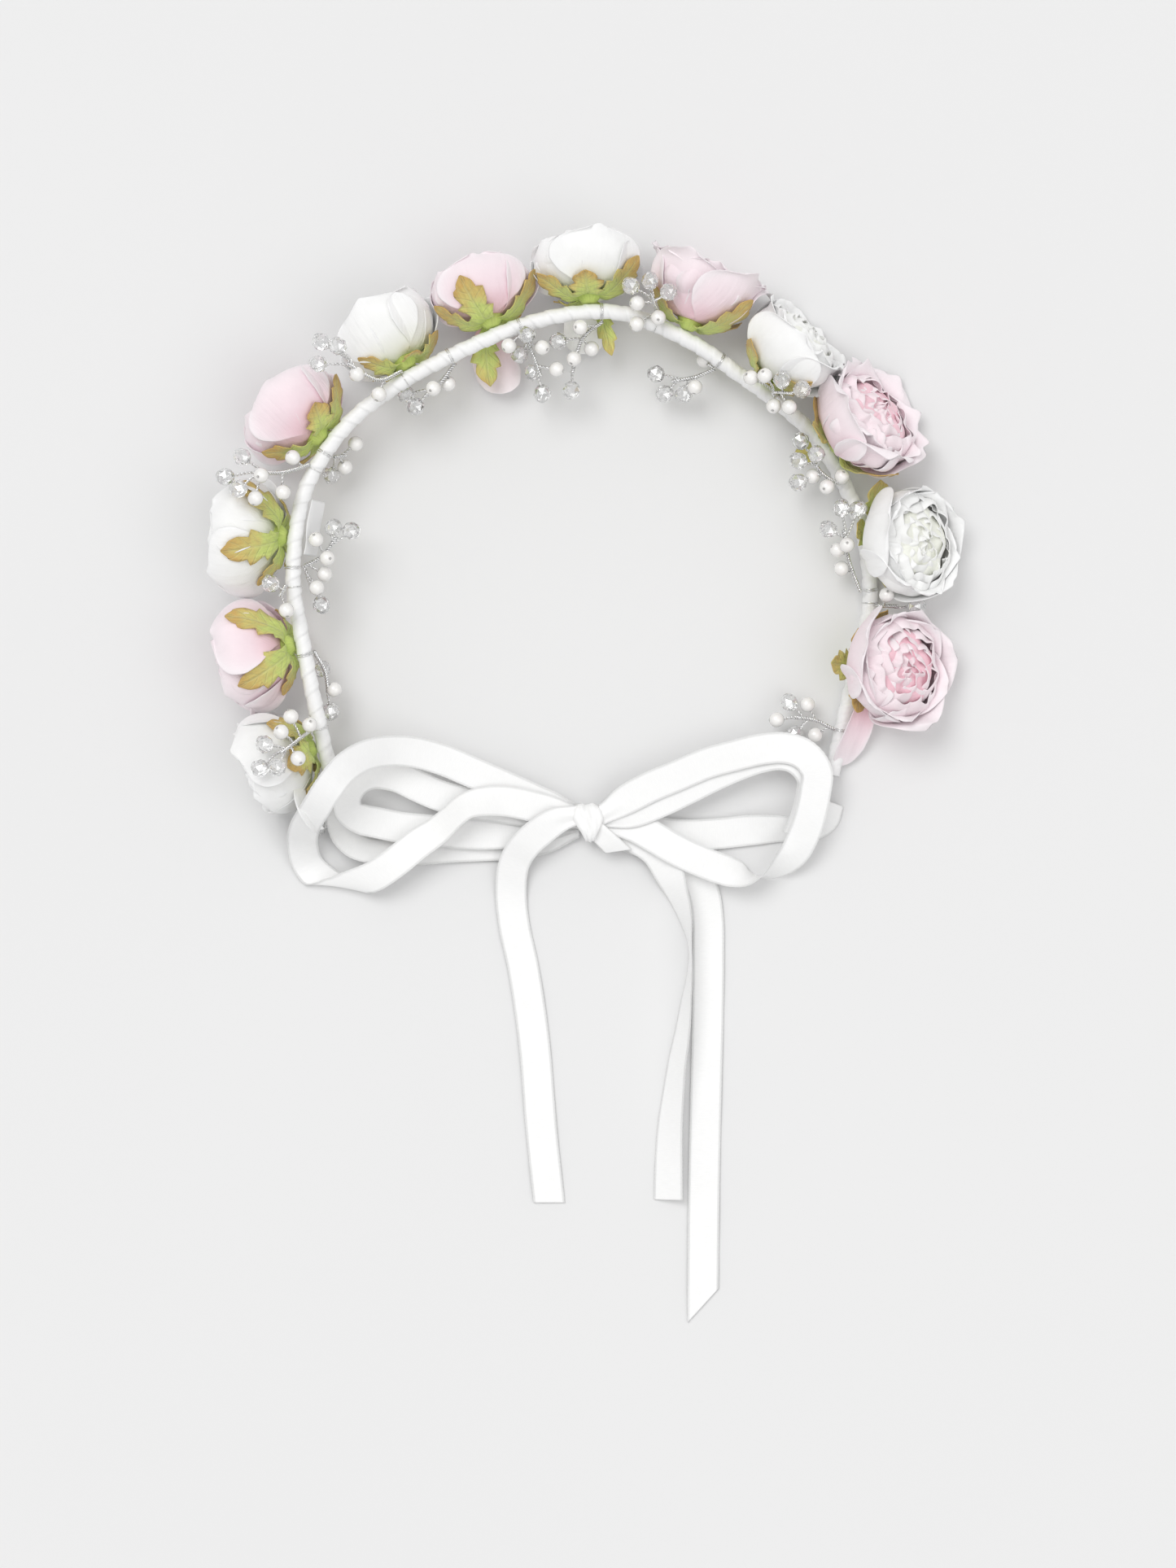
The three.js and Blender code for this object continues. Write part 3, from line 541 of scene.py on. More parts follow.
def ribbon(name, stations):
    """A strip along its stations, gathered where the knot holds it, with soft waves and stitched edges."""
    stations = np.array(stations, float)
    held = [end for end in (0, -1) if np.hypot(*(stations[end, :2] - KNOT_PLACE)) < KNOT_NEAR]
    for end in held:
        x, y = stations[end, :2]
        stations[end, :2] += [math.copysign(KNOT_REACH, KNOT_PLACE[0] - x), 0.3 * (KNOT_PLACE[1] - y)]
    route = Route(stations[:, :3] + CENTRE)
    lean = Route(np.radians(np.column_stack([stations[:, 3:], np.zeros(len(stations))])))
    along = np.linspace(0, 1, round(route.length / RIBBON_STEP) + 1)
    centres, runs = route.place(along), route.run(along)
    bearing, tilt, _ = lean.at(route.share(along)).T
    across = np.column_stack([np.cos(tilt) * np.cos(bearing), np.cos(tilt) * np.sin(bearing), np.sin(tilt)])
    skew = np.sqrt(np.maximum(0.4, 1 - (across * runs).sum(axis=1) ** 2))
    normals = unit(np.cross(across, runs))
    distance = along * route.length
    gathers = [-end * route.length for end in held]
    to_knot = np.min([np.abs(distance - place) for place in gathers], axis=0)
    pinch = np.exp(-((to_knot / GATHER_LENGTH) ** 2))
    picot = 0.14 * np.abs(np.sin(np.pi * distance / PICOT_PITCH))
    sides = np.concatenate([[-1], np.linspace(-0.982, 0.982, RIBBON_COLUMNS), [1]])
    half = RIBBON_WIDTH / 2 / skew * (1 - 0.38 * pinch)
    reach = sides[None] * half[:, None]
    reach[:, :2] -= picot[:, None]
    reach[:, -2:] += picot[:, None]
    phase = sum(map(ord, name))
    ripple = 0.10 * np.sin(distance / 6.5 + phase)[:, None] * sides[None]
    ripple = ripple + 0.05 * np.sin(distance / 3.1)[:, None]
    bead = 0.06 * (np.abs(sides) > 0.85)[None] * np.sin(2 * np.pi * distance / PICOT_PITCH)[:, None]
    pleat = 0.55 * pinch[:, None] * np.sin(4.4 * sides + phase)[None]
    rise = ripple + bead + pleat
    points = centres[:, None] + reach[..., None] * across[:, None] + rise[..., None] * normals[:, None]
    cloth = joined(sides[None] * RIBBON_WIDTH / 2, distance[:, None], phase * 1.0)
    sheets = Sheets()
    sheets.grid(points, along[:, None], sides[None], 0, cloth)
    piece = sheets.build(f"ribbon_{name}_satin", RIBBON, slot="satin_ribbon", thickness=CLOTH_THICKNESS)
    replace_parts(piece, f"ribbon_{name}")


for ribbon_name, ribbon_stations in RIBBONS.items():
    ribbon(ribbon_name, ribbon_stations)


# The knot: one turn of ribbon over the bow, gathered into folds and narrowing towards the wearer.
KNOT_CENTRE = CENTRE + [2, -82.5, 6.2]
KNOT_HALF = np.array([4.7, 6.25, 4.8])  # half its size along X, Y and Z
KNOT_SQUARENESS = 0.62  # 1 would be an oval section


def knot():
    """The gathered turn of ribbon with its ends closed, and the flap beside it."""
    sheets = Sheets()
    turns, columns = 72, 33
    angle = np.linspace(0, FULL_TURN, turns, endpoint=False)[None]
    side = np.linspace(-1, 1, columns)[:, None]
    round_y = np.sign(np.cos(angle)) * np.abs(np.cos(angle)) ** KNOT_SQUARENESS
    round_z = np.sign(np.sin(angle)) * np.abs(np.sin(angle)) ** KNOT_SQUARENESS
    shoulder = (1 - np.abs(side) ** 5) ** 0.5 * 0.34 + 0.66
    down = (1 - round_y) / 2
    narrow = np.interp(down, [0, 0.12, 0.35, 0.6, 0.85, 1], [0.86, 1.04, 1.1, 0.9, 0.56, 0.36])
    slant = 0.9 * side + 0.75 * round_y
    folds = 0.34 * np.sin(2.3 * np.pi * slant) + 0.16 * np.sin(5.1 * np.pi * side + 2 * round_y)
    fold_share = (np.sin(angle) > -0.5) * (1 - side**6)
    swell = shoulder * (1 + folds * fold_share * 0.11)
    x = KNOT_HALF[0] * side * narrow - 0.5 + 0.8 * down
    points = KNOT_CENTRE + joined(x, KNOT_HALF[1] * round_y * swell, KNOT_HALF[2] * round_z * swell)
    start = sheets.grid(points, 0, side * 0.9, 0, joined(5 * side, 6 * angle, 0.0), wrap=True)
    sheets.close(start, columns, turns, points[0].mean(axis=0), points[-1].mean(axis=0))
    piece = sheets.build("ribbon_knot_satin", RIBBON, slot="satin_ribbon", levels=1)
    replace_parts(piece, "ribbon_knot")

    # The end of the wrap is tucked through and lies folded over the tails.
    rows, columns = 25, 15
    t = np.linspace(0, 1, rows)[:, None]
    s = np.linspace(0, 1, columns)[None]
    corners = np.array([[3.8, -80.2, 9.2], [2.4, -87.4, 6.6], [16.2, -91.2, 6.6], [7.2, -92.4, 6.2]])
    near = corners[0] + (corners[1] - corners[0]) * s[..., None]
    far = corners[2] + (corners[3] - corners[2]) * s[..., None]
    points = near + (far - near) * t[..., None]
    arch = 0.7 * np.sin(np.pi * t) * np.sin(np.pi * s)
    points[..., 2] += arch + 0.35 * np.sin(7 * s + 2 * t) * (1 - t) + 0.5 * np.sin(np.pi * t)
    cloth = joined(8 * (s - 0.5), 14 * t, 3.0)
    flap = Sheets()
    flap.grid(points[:, ::-1] + CENTRE, t, 2 * s - 1, 0, cloth)
    flap.build(
        "ribbon_knot_flap_satin", RIBBON, slot="satin_ribbon", thickness=CLOTH_THICKNESS, levels=1
    )


knot()


# ---- Band ----

BAND = Route(np.array([
    [-81.5, -68, 15], [-84, -58, 18.3], [-87.5, -42, 20.8], [-91.5, -21, 22.3], [-94, -5, 22.8],
    [-93, 13, 23], [-90, 26, 23], [-85.5, 35, 23], [-75.5, 48, 23], [-60, 60, 22.6], [-41.5, 70, 22.2],
    [-20.5, 79, 21.9], [-4, 83, 21.6], [11, 83.5, 21], [22.5, 80, 20], [38, 72.5, 17.8], [49, 65, 15.6],
    [64.5, 54, 12], [75.5, 44, 9.2], [84, 31, 6.8], [91.5, 13, 4.5], [94, -10, 3.3], [91, -26, 2.8],
    [87.5, -40, 2.9], [84.5, -53, 3.2], [81.5, -67, 3.8],
]) + CENTRE)
WRAP_PITCH = 6.2  # one turn of the satin strip
WRAP_UNDER = 2.26  # the radius under a turn's front edge
WRAP_STEP = 0.4  # between the rings of its mesh
WRAP_SIDES = 36


def band_wrap():
    """The satin strip is wound on a slant: each turn's front edge rides over the turn before it."""
    sheets = Sheets()
    count = round(BAND.length / WRAP_STEP)
    along = np.linspace(0, 1, count + 1)
    centres, runs = BAND.place(along), BAND.run(along)
    sides = unit(np.cross(runs, [0, 0, 1.0]))
    ups = np.cross(sides, runs)
    angle = np.linspace(0, FULL_TURN, WRAP_SIDES, endpoint=False)[None]
    turns = along[:, None] * BAND.length / WRAP_PITCH + angle / FULL_TURN
    within = turns % 1.0
    lap = np.clip(within / 0.07, 0, 1) * (0.42 - 0.38 * within)
    noise = 0.055 * np.sin(turns * 11.3 + 2 * np.sin(angle)) + 0.035 * np.sin(turns * 23.7 + 3 * angle)
    radius = WRAP_UNDER + lap + noise * np.sin(np.pi * within)
    points = centres[:, None] + radius[..., None] * circle(angle[..., None], sides[:, None], ups[:, None])
    cloth = joined(within * 6, turns * 15.7, 0.0)
    start = sheets.grid(points, 0, within * 1.86 - 0.93, 0, cloth, wrap=True)
    sheets.close(start, count + 1, WRAP_SIDES, centres[0], centres[-1])
    piece = sheets.build("band_satin_wrap_cloth", WRAP, slot="satin_ribbon")
    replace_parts(piece, "band_satin_wrap")


band_wrap()

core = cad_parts["band_core_wire"]
core.data.materials.clear()
core.data.materials.append(CORE_STEEL)


LABEL_PLACE = 0.204  # along the band
LABEL_SIZE = (18.0, 8.5)  # folded; flat it is twice as wide
LABEL_SLOPE = 62  # degrees down from level


def label():
    """A folded tape with a soft belly and rounded fold, left blank."""
    length, width, slope = *LABEL_SIZE, math.radians(LABEL_SLOPE)
    place, run = BAND.place(LABEL_PLACE)[0], BAND.run(LABEL_PLACE)[0]
    inward = unit(np.array([run[1], -run[0], 0]))
    down = inward * math.cos(slope)
    down[2] = -math.sin(slope)
    middle = place + inward * (WRAP_RADIUS + 2 * GAP + 0.7) + down * (width / 2 - 1)
    normal = np.cross(run, down)
    u = np.linspace(-1, 1, 25)[None]
    t = np.linspace(-1, 1, 49)[:, None]
    belly = 0.26 * np.sin(np.pi * u + 0.4) * np.abs(t) + 0.15 * np.cos(np.pi * u * 1.4)
    fold = np.sign(t) * np.minimum(1, (1 - np.abs(t)) * 6 + 0.08) * 0.24
    v = np.abs(t) * 2 - 1
    points = middle + (
        (u * length / 2)[..., None] * run
        + (-v * width / 2)[..., None] * down
        + (belly + fold)[..., None] * normal
    )
    sheets = Sheets()
    sheets.grid(points, 0, 0, 0, joined(u * 9, t * 8, 0.0))
    piece = sheets.build("label_tape_cloth", LABEL_CLOTH, slot="label_white", thickness=0.14)
    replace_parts(piece, "label_tape")


label()


# ---- Flowers ----

# place, heading, tilt, radius and depth are the CAD flower's. first is where the outermost petal lies
# round the flower from its top, open how far the rims stand out, and heart how strong the heart's colour is.
FLOWER_FIELDS = ("place", "heading", "tilt", "radius", "depth", "first", "open", "heart")
FLOWER_ROWS = [
    (0.03, 200, -8, 15.8, 20, -28, 0.35, 0.6),
    (0.112, 194, -20, 16.8, 20, -32, 0.1, 0.45),
    (0.195, 177, -20, 17.5, 19, 42, 0.2, 0.6),
    (0.272, 137, -20, 17, 19, -16, 0.15, 0.45),
    (0.36, 123, -20, 16.5, 19, 0, 0.2, 0.6),
    (0.431, 107, -20, 15.8, 18, -10, 0.1, 0.5),
    (0.508, 94, -20, 16.8, 16.5, -14, 0.45, 0.6),
    (0.586, 69, -2, 16.5, 20, -42, 0.85, 0.55),
    (0.656, 45, 12, 15.8, 20, 8, 0.7, 0.7),
    (0.735, 38, 30, 17, 21, 22, 0.9, 0.75),
    (0.817, 6, 44, 17, 21, 14, 0.6, 0.9),
    (0.915, 3, 50, 17.5, 21, 24, 0.7, 1.0),
]
FLOWERS = [
    dict(zip(FLOWER_FIELDS, row, strict=True), colour=("white", "pink")[index % 2])
    for index, row in enumerate(FLOWER_ROWS)
]

# A petal's line from foot to rim as (radius share, depth share), on a shut flower and on an open one.
CLOSED_PROFILE = [
    (0.10, 0.0), (0.42, 0.03), (0.74, 0.19), (0.95, 0.43), (1.0, 0.66), (0.92, 0.88), (0.76, 1.0)
]
OPEN_PROFILE = [
    (0.10, 0.0), (0.40, 0.03), (0.68, 0.2), (0.88, 0.44), (0.97, 0.68), (1.02, 0.88), (1.10, 1.0)
]
PETAL_WIDTH = [
    (0, 0.34), (0.2, 0.66), (0.42, 0.93), (0.62, 1.0), (0.8, 0.93), (0.91, 0.74), (0.97, 0.5), (1, 0.2)
]
# The heart's rows from the outside in: the rim's share of the radius, the height's share of the depth,
# how many petals, and half the angle that one covers.
HEART_ROWS = [
    (0.96, 0.87, 5, 0.76), (0.85, 0.915, 5, 0.80), (0.68, 0.955, 4, 0.95),
    (0.48, 0.985, 4, 1.05), (0.28, 0.99, 3, 1.25),
]
BUD_PROFILE = [
    (0.10, 0.20), (0.44, 0.30), (0.70, 0.52), (0.75, 0.72),
    (0.66, 0.86), (0.47, 0.92), (0.25, 0.945), (0.02, 0.93),
]
# The outer layer's five petals as turn from the first in degrees, share of the radius, share of the depth.
OUTER_LAYER = [(0, 1.0, 1.0), (72, 0.925, 1.0), (-72, 0.915, 0.97), (144, 0.985, 1.0), (-144, 0.96, 0.985)]
OUTER_HALF_ANGLES = (52, 58)
UNDER_LAYER = (50, 0.87, 0.985)  # half-angle and shares of the five petals behind them
PETAL_THICKNESS = 0.34
TABLE_CLEARANCE = 0.25
TABLE_SOFTNESS = 0.8  # the height over which a petal turns to lie flat
SWELL = 1.09  # the outer petals' cloth stands this much proud of the head's solid


def profile(points, t):
    """A smooth line of (radius, axial) shares at shares t of the way."""
    route = Route([(r, a, 0) for r, a in points])
    places = route.place(t)
    return places[:, 0], places[:, 1]


def outer_petal(sheets, flower, index, turn, half, lift, size, rng):
    """An outer petal, as open as its flower is, with side edges that stand off, waves and a rolled lip."""
    t, s = lattice(19, 19)
    width = np.interp(t, *zip(*PETAL_WIDTH, strict=True))
    closed, opened = profile(CLOSED_PROFILE, t[:, 0]), profile(OPEN_PROFILE, t[:, 0])
    openness = min(1.0, max(0.0, flower["open"] + rng.uniform(-0.15, 0.15)))
    r, a = ((c + (o - c) * openness)[:, None] for c, o in zip(closed, opened, strict=True))
    phase = phases(rng, 4)
    edge = -0.02 + 0.03 * openness
    radial = r * (lift + 0.03 * s + edge * s**2 * np.sin(np.pi * t))
    wing = np.sin(np.pi * np.clip(t * 0.85, 0, 1)) * rng.uniform(0.6, 1.3) * (1.0 if index < 5 else 0.15)
    radial += (0.13 * np.clip(s, 0, 1) ** 5 + 0.08 * np.clip(-s, 0, 1) ** 5) * wing
    radial += t**2 * (0.022 * np.sin(3.1 * s + phase[0]) + 0.012 * np.sin(6.3 * s + phase[1]))
    lip = np.clip((t - 0.84) / 0.16, 0, 1) ** 2
    radial += lip * (0.035 + 0.06 * openness + 0.03 * np.sin(3.4 * s + phase[2]))
    axial = a * size - 0.075 * s**2 * t**1.5 + 0.022 * t**2 * np.sin(4.4 * s + phase[3])
    angle = turn + half * width * s + 0.02 * np.sin(4 * t + phase[1])
    radial *= flower["radius"] * SWELL
    points = turned(radial, axial * flower["depth"], angle)
    cloth = joined(radial * half * width * s, 26 * t, 7.3 * index)
    warmth = 0.12 + 0.1 * rng.random()
    sheets.grid(points, t, s, warmth * (0.4 + 0.6 * (1 - t)), cloth)


def heart_petal(sheets, flower, row, index, turn, rng):
    """A crumpled inner petal. Its upper part leans in over the next row, so the heart closes like a peony."""
    share, height, _, half = HEART_ROWS[row]
    t, s = lattice(17, 21)
    inner = max(0.03, share - 0.27)
    spine = [
        (0.05, 0.12), (share * 0.80, 0.34), (share * 1.04, 0.62 * height), (share * 0.99, 0.84 * height),
        ((share + inner) / 2 + 0.03, 0.97 * height), (inner + 0.06, height - 0.025),
    ]
    r, a = (line[:, None] for line in profile(spine, t[:, 0]))
    phase = phases(rng, 6)
    crush = 0.030 + 0.016 * rng.random()
    waves = np.sin(4.6 * s + phase[0]) + 0.7 * np.sin(8.3 * s + 2.5 * t + phase[1])
    radial = r + t**1.5 * crush * waves + 0.03 * s * (1 - 0.5 * t)
    radial += 0.06 * t**3 * np.cos(3.4 * s + phase[4])
    axial = a - 0.045 * s**2 * t + t**2 * 0.024 * np.sin(6.1 * s + phase[2]) + 0.02 * rng.uniform(-1, 1) * t
    axial += 0.016 * t**2 * np.sin(11 * s + phase[5]) + 0.045 * np.clip((t - 0.9) / 0.1, 0, 1) ** 2
    shape = 0.6 + 0.4 * np.sin(np.pi * np.clip(t * 0.75, 0, 1))
    angle = turn + half * shape * s + t * 0.06 * np.sin(7 * s + phase[3])
    points = turned(np.maximum(radial, 0.015) * flower["radius"], axial * flower["depth"], angle)
    cloth = joined(9 * s, 20 * t, 3.1 * index + 40 + 10 * row)
    deep = flower["heart"] * (0.2 + 0.14 * row + 0.45 * (1 - t))
    sheets.grid(points, 0.4 + 0.45 * t, s, np.clip(deep, 0, 1), cloth)


def heart_bud(sheets, flower, rng):
    """The crumpled bud that the inner petals close over."""
    angle = np.linspace(0, FULL_TURN, 64, endpoint=False)[None]
    r, a = (line[:, None] for line in profile(BUD_PROFILE, np.linspace(0, 1, 34)))
    phase = phases(rng, 4)
    folds = np.sin(5 * angle + phase[0] + 4 * r) + 0.6 * np.sin(9 * angle + phase[1] - 6 * r)
    crinkles = np.sin(26 * r + 2 * np.sin(3 * angle + phase[2]))
    axial = a + 0.014 * folds * np.clip(r * 3, 0, 1) + 0.012 * crinkles
    points = turned(r * (1 + 0.03 * folds) * flower["radius"], axial * flower["depth"], angle)
    cloth = joined(12 * angle, 24 * a, 70.0)
    sheets.grid(points[:, ::-1], 0.45, 0.3, flower["heart"], cloth, wrap=True)


def hanging_petal(sheets, turn, length, width, start, end, bow):
    """A loose outer petal that has dropped back beside the flower, bent from the first angle to the last."""
    t, s = lattice(25, 15)
    bend = np.radians(np.linspace(start, end, len(t)))[:, None]
    step = length / (len(t) - 1)
    radial = 3.5 + np.cumsum(np.cos(bend), axis=0) * step
    axial = 0.6 + np.cumsum(np.sin(bend), axis=0) * step
    outline = width / 2 * np.interp(t, *zip(*HANGING_WIDTH, strict=True))
    tangent = outline * s + bow * np.sin(2.6 * t)
    cup = (0.16 * width * s**2 + 0.3 * np.sin(5 * s + 3 * t)) * np.sin(np.pi * np.clip(t * 0.9 + 0.1, 0, 1))
    radial, axial = radial - cup * np.sin(bend), axial + cup * np.cos(bend)
    points = swung(radial, axial, tangent, math.radians(turn))
    sheets.grid(points, t, s, 0.1 + 0.2 * (1 - t), joined(outline * s, 28 * t, 91.0))


HANGING_WIDTH = [(0, 0.4), (0.25, 0.75), (0.5, 0.98), (0.75, 1.0), (0.9, 0.78), (0.97, 0.5), (1, 0.15)]
# Petals that hang loose: the flower's number, turn, length, width, first and last angle, sideways bow.
HANGING = [
    (1, 84, 23, 18, 24, 2, 0.0),
    (12, -80, 29, 11.5, -5, -38, 0.8),
    (6, 178, 26, 15, -12, -88, -2.0),
    (7, 168, 21, 15, -10, -70, 2.0),
    (2, 100, 25, 15, 58, 26, 0.5),
]


def flower_frame(flower):
    """Where its axis leaves the band, and its frame: x to its top, y along its axis, z to its side."""
    heading, tilt = math.radians(flower["heading"]), math.radians(flower["tilt"])
    axis = np.array([math.cos(tilt) * math.cos(heading), math.cos(tilt) * math.sin(heading), math.sin(tilt)])
    side = np.array([-math.sin(heading), math.cos(heading), 0])
    top = -np.cross(side, axis)
    origin = BAND.place(flower["place"])[0] + axis * (WRAP_RADIUS + GAP)
    return origin, np.column_stack([top, axis, side])


def placed(sheets, origin, turn):
    """Stands the sheets on their flower's frame. What would reach through the table flattens out on it."""
    for index, points in enumerate(sheets.points):
        points = points @ turn.T + origin
        height = (points[:, 2] - TABLE_CLEARANCE) / TABLE_SOFTNESS
        points[:, 2] = TABLE_CLEARANCE + TABLE_SOFTNESS * np.logaddexp(0, height)
        sheets.points[index] = points


def make_head(number, flower):
    rng = random.Random(100 + number)
    origin, turn = flower_frame(flower)
    origin = origin + turn[:, 1] * (HUB_LENGTH + GAP)
    name = f"flower_{number:02d}_{flower['colour']}"
    looks = dict(
        material=PETALS[flower["colour"]],
        slot=f"petal_{flower['colour']}",
        thickness=PETAL_THICKNESS,
        levels=1,
    )
    outer, heart = Sheets(), Sheets()
    first = math.radians(flower["first"])
    for index, (step, lift, size) in enumerate(OUTER_LAYER):
        at = first + math.radians(step + rng.uniform(-6, 6))
        half = math.radians(rng.uniform(*OUTER_HALF_ANGLES))
        outer_petal(outer, flower, index, at, half, lift, size * rng.uniform(0.96, 1.03), rng)
    half, lift, size = UNDER_LAYER
    for index in range(5):
        at = first + math.radians(36 + 72 * index + rng.uniform(-8, 8))
        depth = size * rng.uniform(0.97, 1.0)
        outer_petal(outer, flower, 5 + index, at, math.radians(half), lift, depth, rng)
    for at, *loose in HANGING:
        if at == number:
            hanging_petal(outer, *loose)
    placed(outer, origin, turn)
    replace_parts(outer.build(f"{name}_outer_petals", **looks), f"{name}_petals")
    heart_bud(heart, flower, rng)
    for row, (_, _, count, _) in enumerate(HEART_ROWS):
        start = rng.uniform(0, 6.28)
        for index in range(count):
            at = start + 2 * math.pi * index / count + rng.uniform(-0.12, 0.12)
            heart_petal(heart, flower, row, index, at, rng)
    placed(heart, origin, turn)
    heart.build(f"{name}_heart_petals", **looks)


for head_number, head in enumerate(FLOWERS, 1):
    make_head(head_number, head)


# ---- Calyxes ----

# Leaves of each calyx as (turn from the flower's top, reach, width). A reach up to 1 lies on the petals.
# A leaf with two more numbers stands off them. It is reach mm long and bends from the first angle to the
# second.
LEAVES = [
    [(-45, 0.8, 8.5), (12, 0.72, 10.0), (-120, 0.5, 7.5), (150, 0.55, 7.5), (84, 0.85, 7.0)],
    [(-45, 1.0, 9.5), (28, 1.0, 10.0), (82, 0.66, 7.0), (-120, 0.6, 8.0), (160, 0.6, 8.0)],
    [(-52, 0.98, 9.5), (18, 1.0, 10.0), (76, 0.7, 7.0), (-122, 0.6, 8.0), (150, 0.6, 8.0)],
    [(-28, 0.6, 10.0), (-78, 0.85, 8.5), (66, 0.8, 8.0), (-150, 0.6, 8.0), (140, 0.6, 8.0)],
    [(50, 0.72, 7.0), (-98, 0.62, 10.5), (-30, 0.3, 7.0), (180, 0.6, 8.0), (120, 0.6, 8.0)],
    [(17, 0.95, 10.0), (-79, 0.98, 10.0), (72, 0.85, 8.0), (150, 20, 9.5, -25, -95), (-140, 0.6, 8.0)],
    [(3, 0.62, 10.5), (-60, 0.92, 10.0), (64, 0.8, 9.0), (-152, 19, 6.0, -25, -95), (130, 0.6, 8.0)],
    [(-56, 1.0, 10.0), (64, 0.8, 9.0), (-112, 0.75, 8.0), (130, 0.6, 8.0), (-170, 0.6, 8.0)],
    [(45, 0.75, 8.5), (-42, 0.9, 8.5), (0, 0.35, 8.0), (130, 0.6, 8.0), (-130, 0.6, 8.0)],
    [(40, 14, 9.0, 16, 6), (72, 0.75, 8.5), (-72, 1.0, 9.0), (-130, 0.6, 8.0), (164, 29, 10.5, -30, -96)],
    [(84, 21, 12.5, 10, 20), (36, 12, 9.0, 10, 0), (-84, 14, 6.0, 6, 30), (150, 0.6, 8.0), (-150, 0.6, 8.0)],
    [(10, 15, 9.5, 10, 0), (95, 0.85, 8.5), (66, 0.6, 7.0), (-60, 0.6, 8.0), (-150, 0.6, 8.0)],
]
HUG_PROFILE = [(0.1, 0.01), (0.38, -0.03), (0.7, 0.14), (0.97, 0.4), (1.07, 0.66)]
LEAF_WIDTH = [(0, 0.42), (0.15, 0.55), (0.38, 0.86), (0.58, 1.0), (0.78, 0.86), (0.9, 0.55), (1, 0.05)]
HUB_RADIUS = 4.2
HUB_PROFILE = np.array([
    (0.0, 0.05), (0.3, 0.0), (0.47, 0.06), (0.62, 0.3), (0.82, 0.62), (1.0, 1.0), (0.93, 1.12), (0.6, 1.05)
])
LEAF_LEAST_RADIUS = 8.5  # a leaf is never rolled round the flower's axis more tightly than this


def leaf_line(flower, spec, count):
    """The leaf's middle line as radius and axial place in mm, from its root to its tip."""
    if len(spec) == 3:
        t = np.linspace(0, spec[1], count)
        r, a = profile(HUG_PROFILE, t)
        return r * flower["radius"] + 0.25, a * flower["depth"] + HUB_LENGTH + GAP - 0.9 * (1 - a)
    _, length, _, start, end = spec
    bend = np.radians(np.linspace(start, end, count))
    step = length / (count - 1)
    r = 2.0 + np.concatenate([[0], np.cumsum(np.cos(bend[1:]) * step)])
    a = HUB_LENGTH * 0.6 + np.concatenate([[0], np.cumsum(np.sin(bend[1:]) * step)])
    return r, a


def leaf(sheets, flower, spec, index, rng):
    """A toothed calyx leaf with a sunk midrib and a tip that curls off the petals."""
    t, s = lattice(45, 11)
    hugs = len(spec) == 3
    r, a = (line[:, None] for line in leaf_line(flower, spec, len(t)))
    run = unit(np.gradient(np.column_stack([r, a]), axis=0)) * (1 if hugs else -1)
    out_r, out_a = run[:, 1:2], -run[:, 0:1]
    shape = np.interp(t, *zip(*LEAF_WIDTH, strict=True))
    fade = np.clip((t - 0.18) * 4, 0, 1) * np.clip((1 - t) * 5, 0, 1)
    left, right = (
        shape * (1 + 0.5 * fade * (((t * teeth + rng.random()) % 1.0) - 0.55)) for teeth in (3.3, 4.1)
    )
    reach = spec[2] / 2 * np.where(s < 0, left, right) * s
    phase = rng.uniform(0, 6.28)
    curl = rng.uniform(0.4, 2.2)
    lift = 0.25 + 0.55 * s**2 * np.sin(np.pi * t) + curl * np.clip((t - 0.55) / 0.45, 0, 1) ** 2
    lift += 0.28 * np.sin(9 * t + phase) * s + 0.16 * np.sin(21 * t + 2 * phase) * np.abs(s)
    lift -= 0.22 * np.exp(-((s / 0.13) ** 2)) * (1 - t)
    about = np.maximum(r, LEAF_LEAST_RADIUS)
    swing = reach / about * (0.85 if hugs else 0.25)
    over = lift * out_r + about
    x = over * np.cos(swing) - (about - r)
    z = over * np.sin(swing) + reach * (0.15 if hugs else 0.75)
    points = swung(x, a + lift * out_a, z, math.radians(spec[0]))
    ripe = t if hugs else 0.72 * t  # a leaf that stands free is greener
    sheets.grid(points, ripe, s, 0, joined(reach, 20 * t, 13.0 * index))


def hub(sheets):
    """The calyx's cup: a fluted cone that holds the petals."""
    angle = np.linspace(0, FULL_TURN, 40, endpoint=False)[None]
    r, a = HUB_PROFILE[:, :1] * HUB_RADIUS, HUB_PROFILE[:, 1:] * HUB_LENGTH
    points = turned(r * (1 + 0.05 * np.cos(5 * angle) * a / HUB_LENGTH), a, angle)
    cloth = joined(4 * angle, a, 200.0)
    sheets.grid(points[:, ::-1], 0.12, 0.5, 0, cloth, wrap=True)


def make_calyx(number, flower):
    rng = random.Random(300 + number)
    sheets = Sheets()
    hub(sheets)
    for index, spec in enumerate(LEAVES[number - 1]):
        leaf(sheets, flower, spec, index, rng)
    origin, turn = flower_frame(flower)
    placed(sheets, origin, turn)
    piece = sheets.build(f"calyx_{number:02d}_leaves", LEAF, slot="calyx_green", thickness=CLOTH_THICKNESS)
    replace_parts(piece, f"calyx_{number:02d}")


for calyx_number, calyx_flower in enumerate(FLOWERS, 1):
    make_calyx(calyx_number, calyx_flower)


# ---- Bead sprigs ----

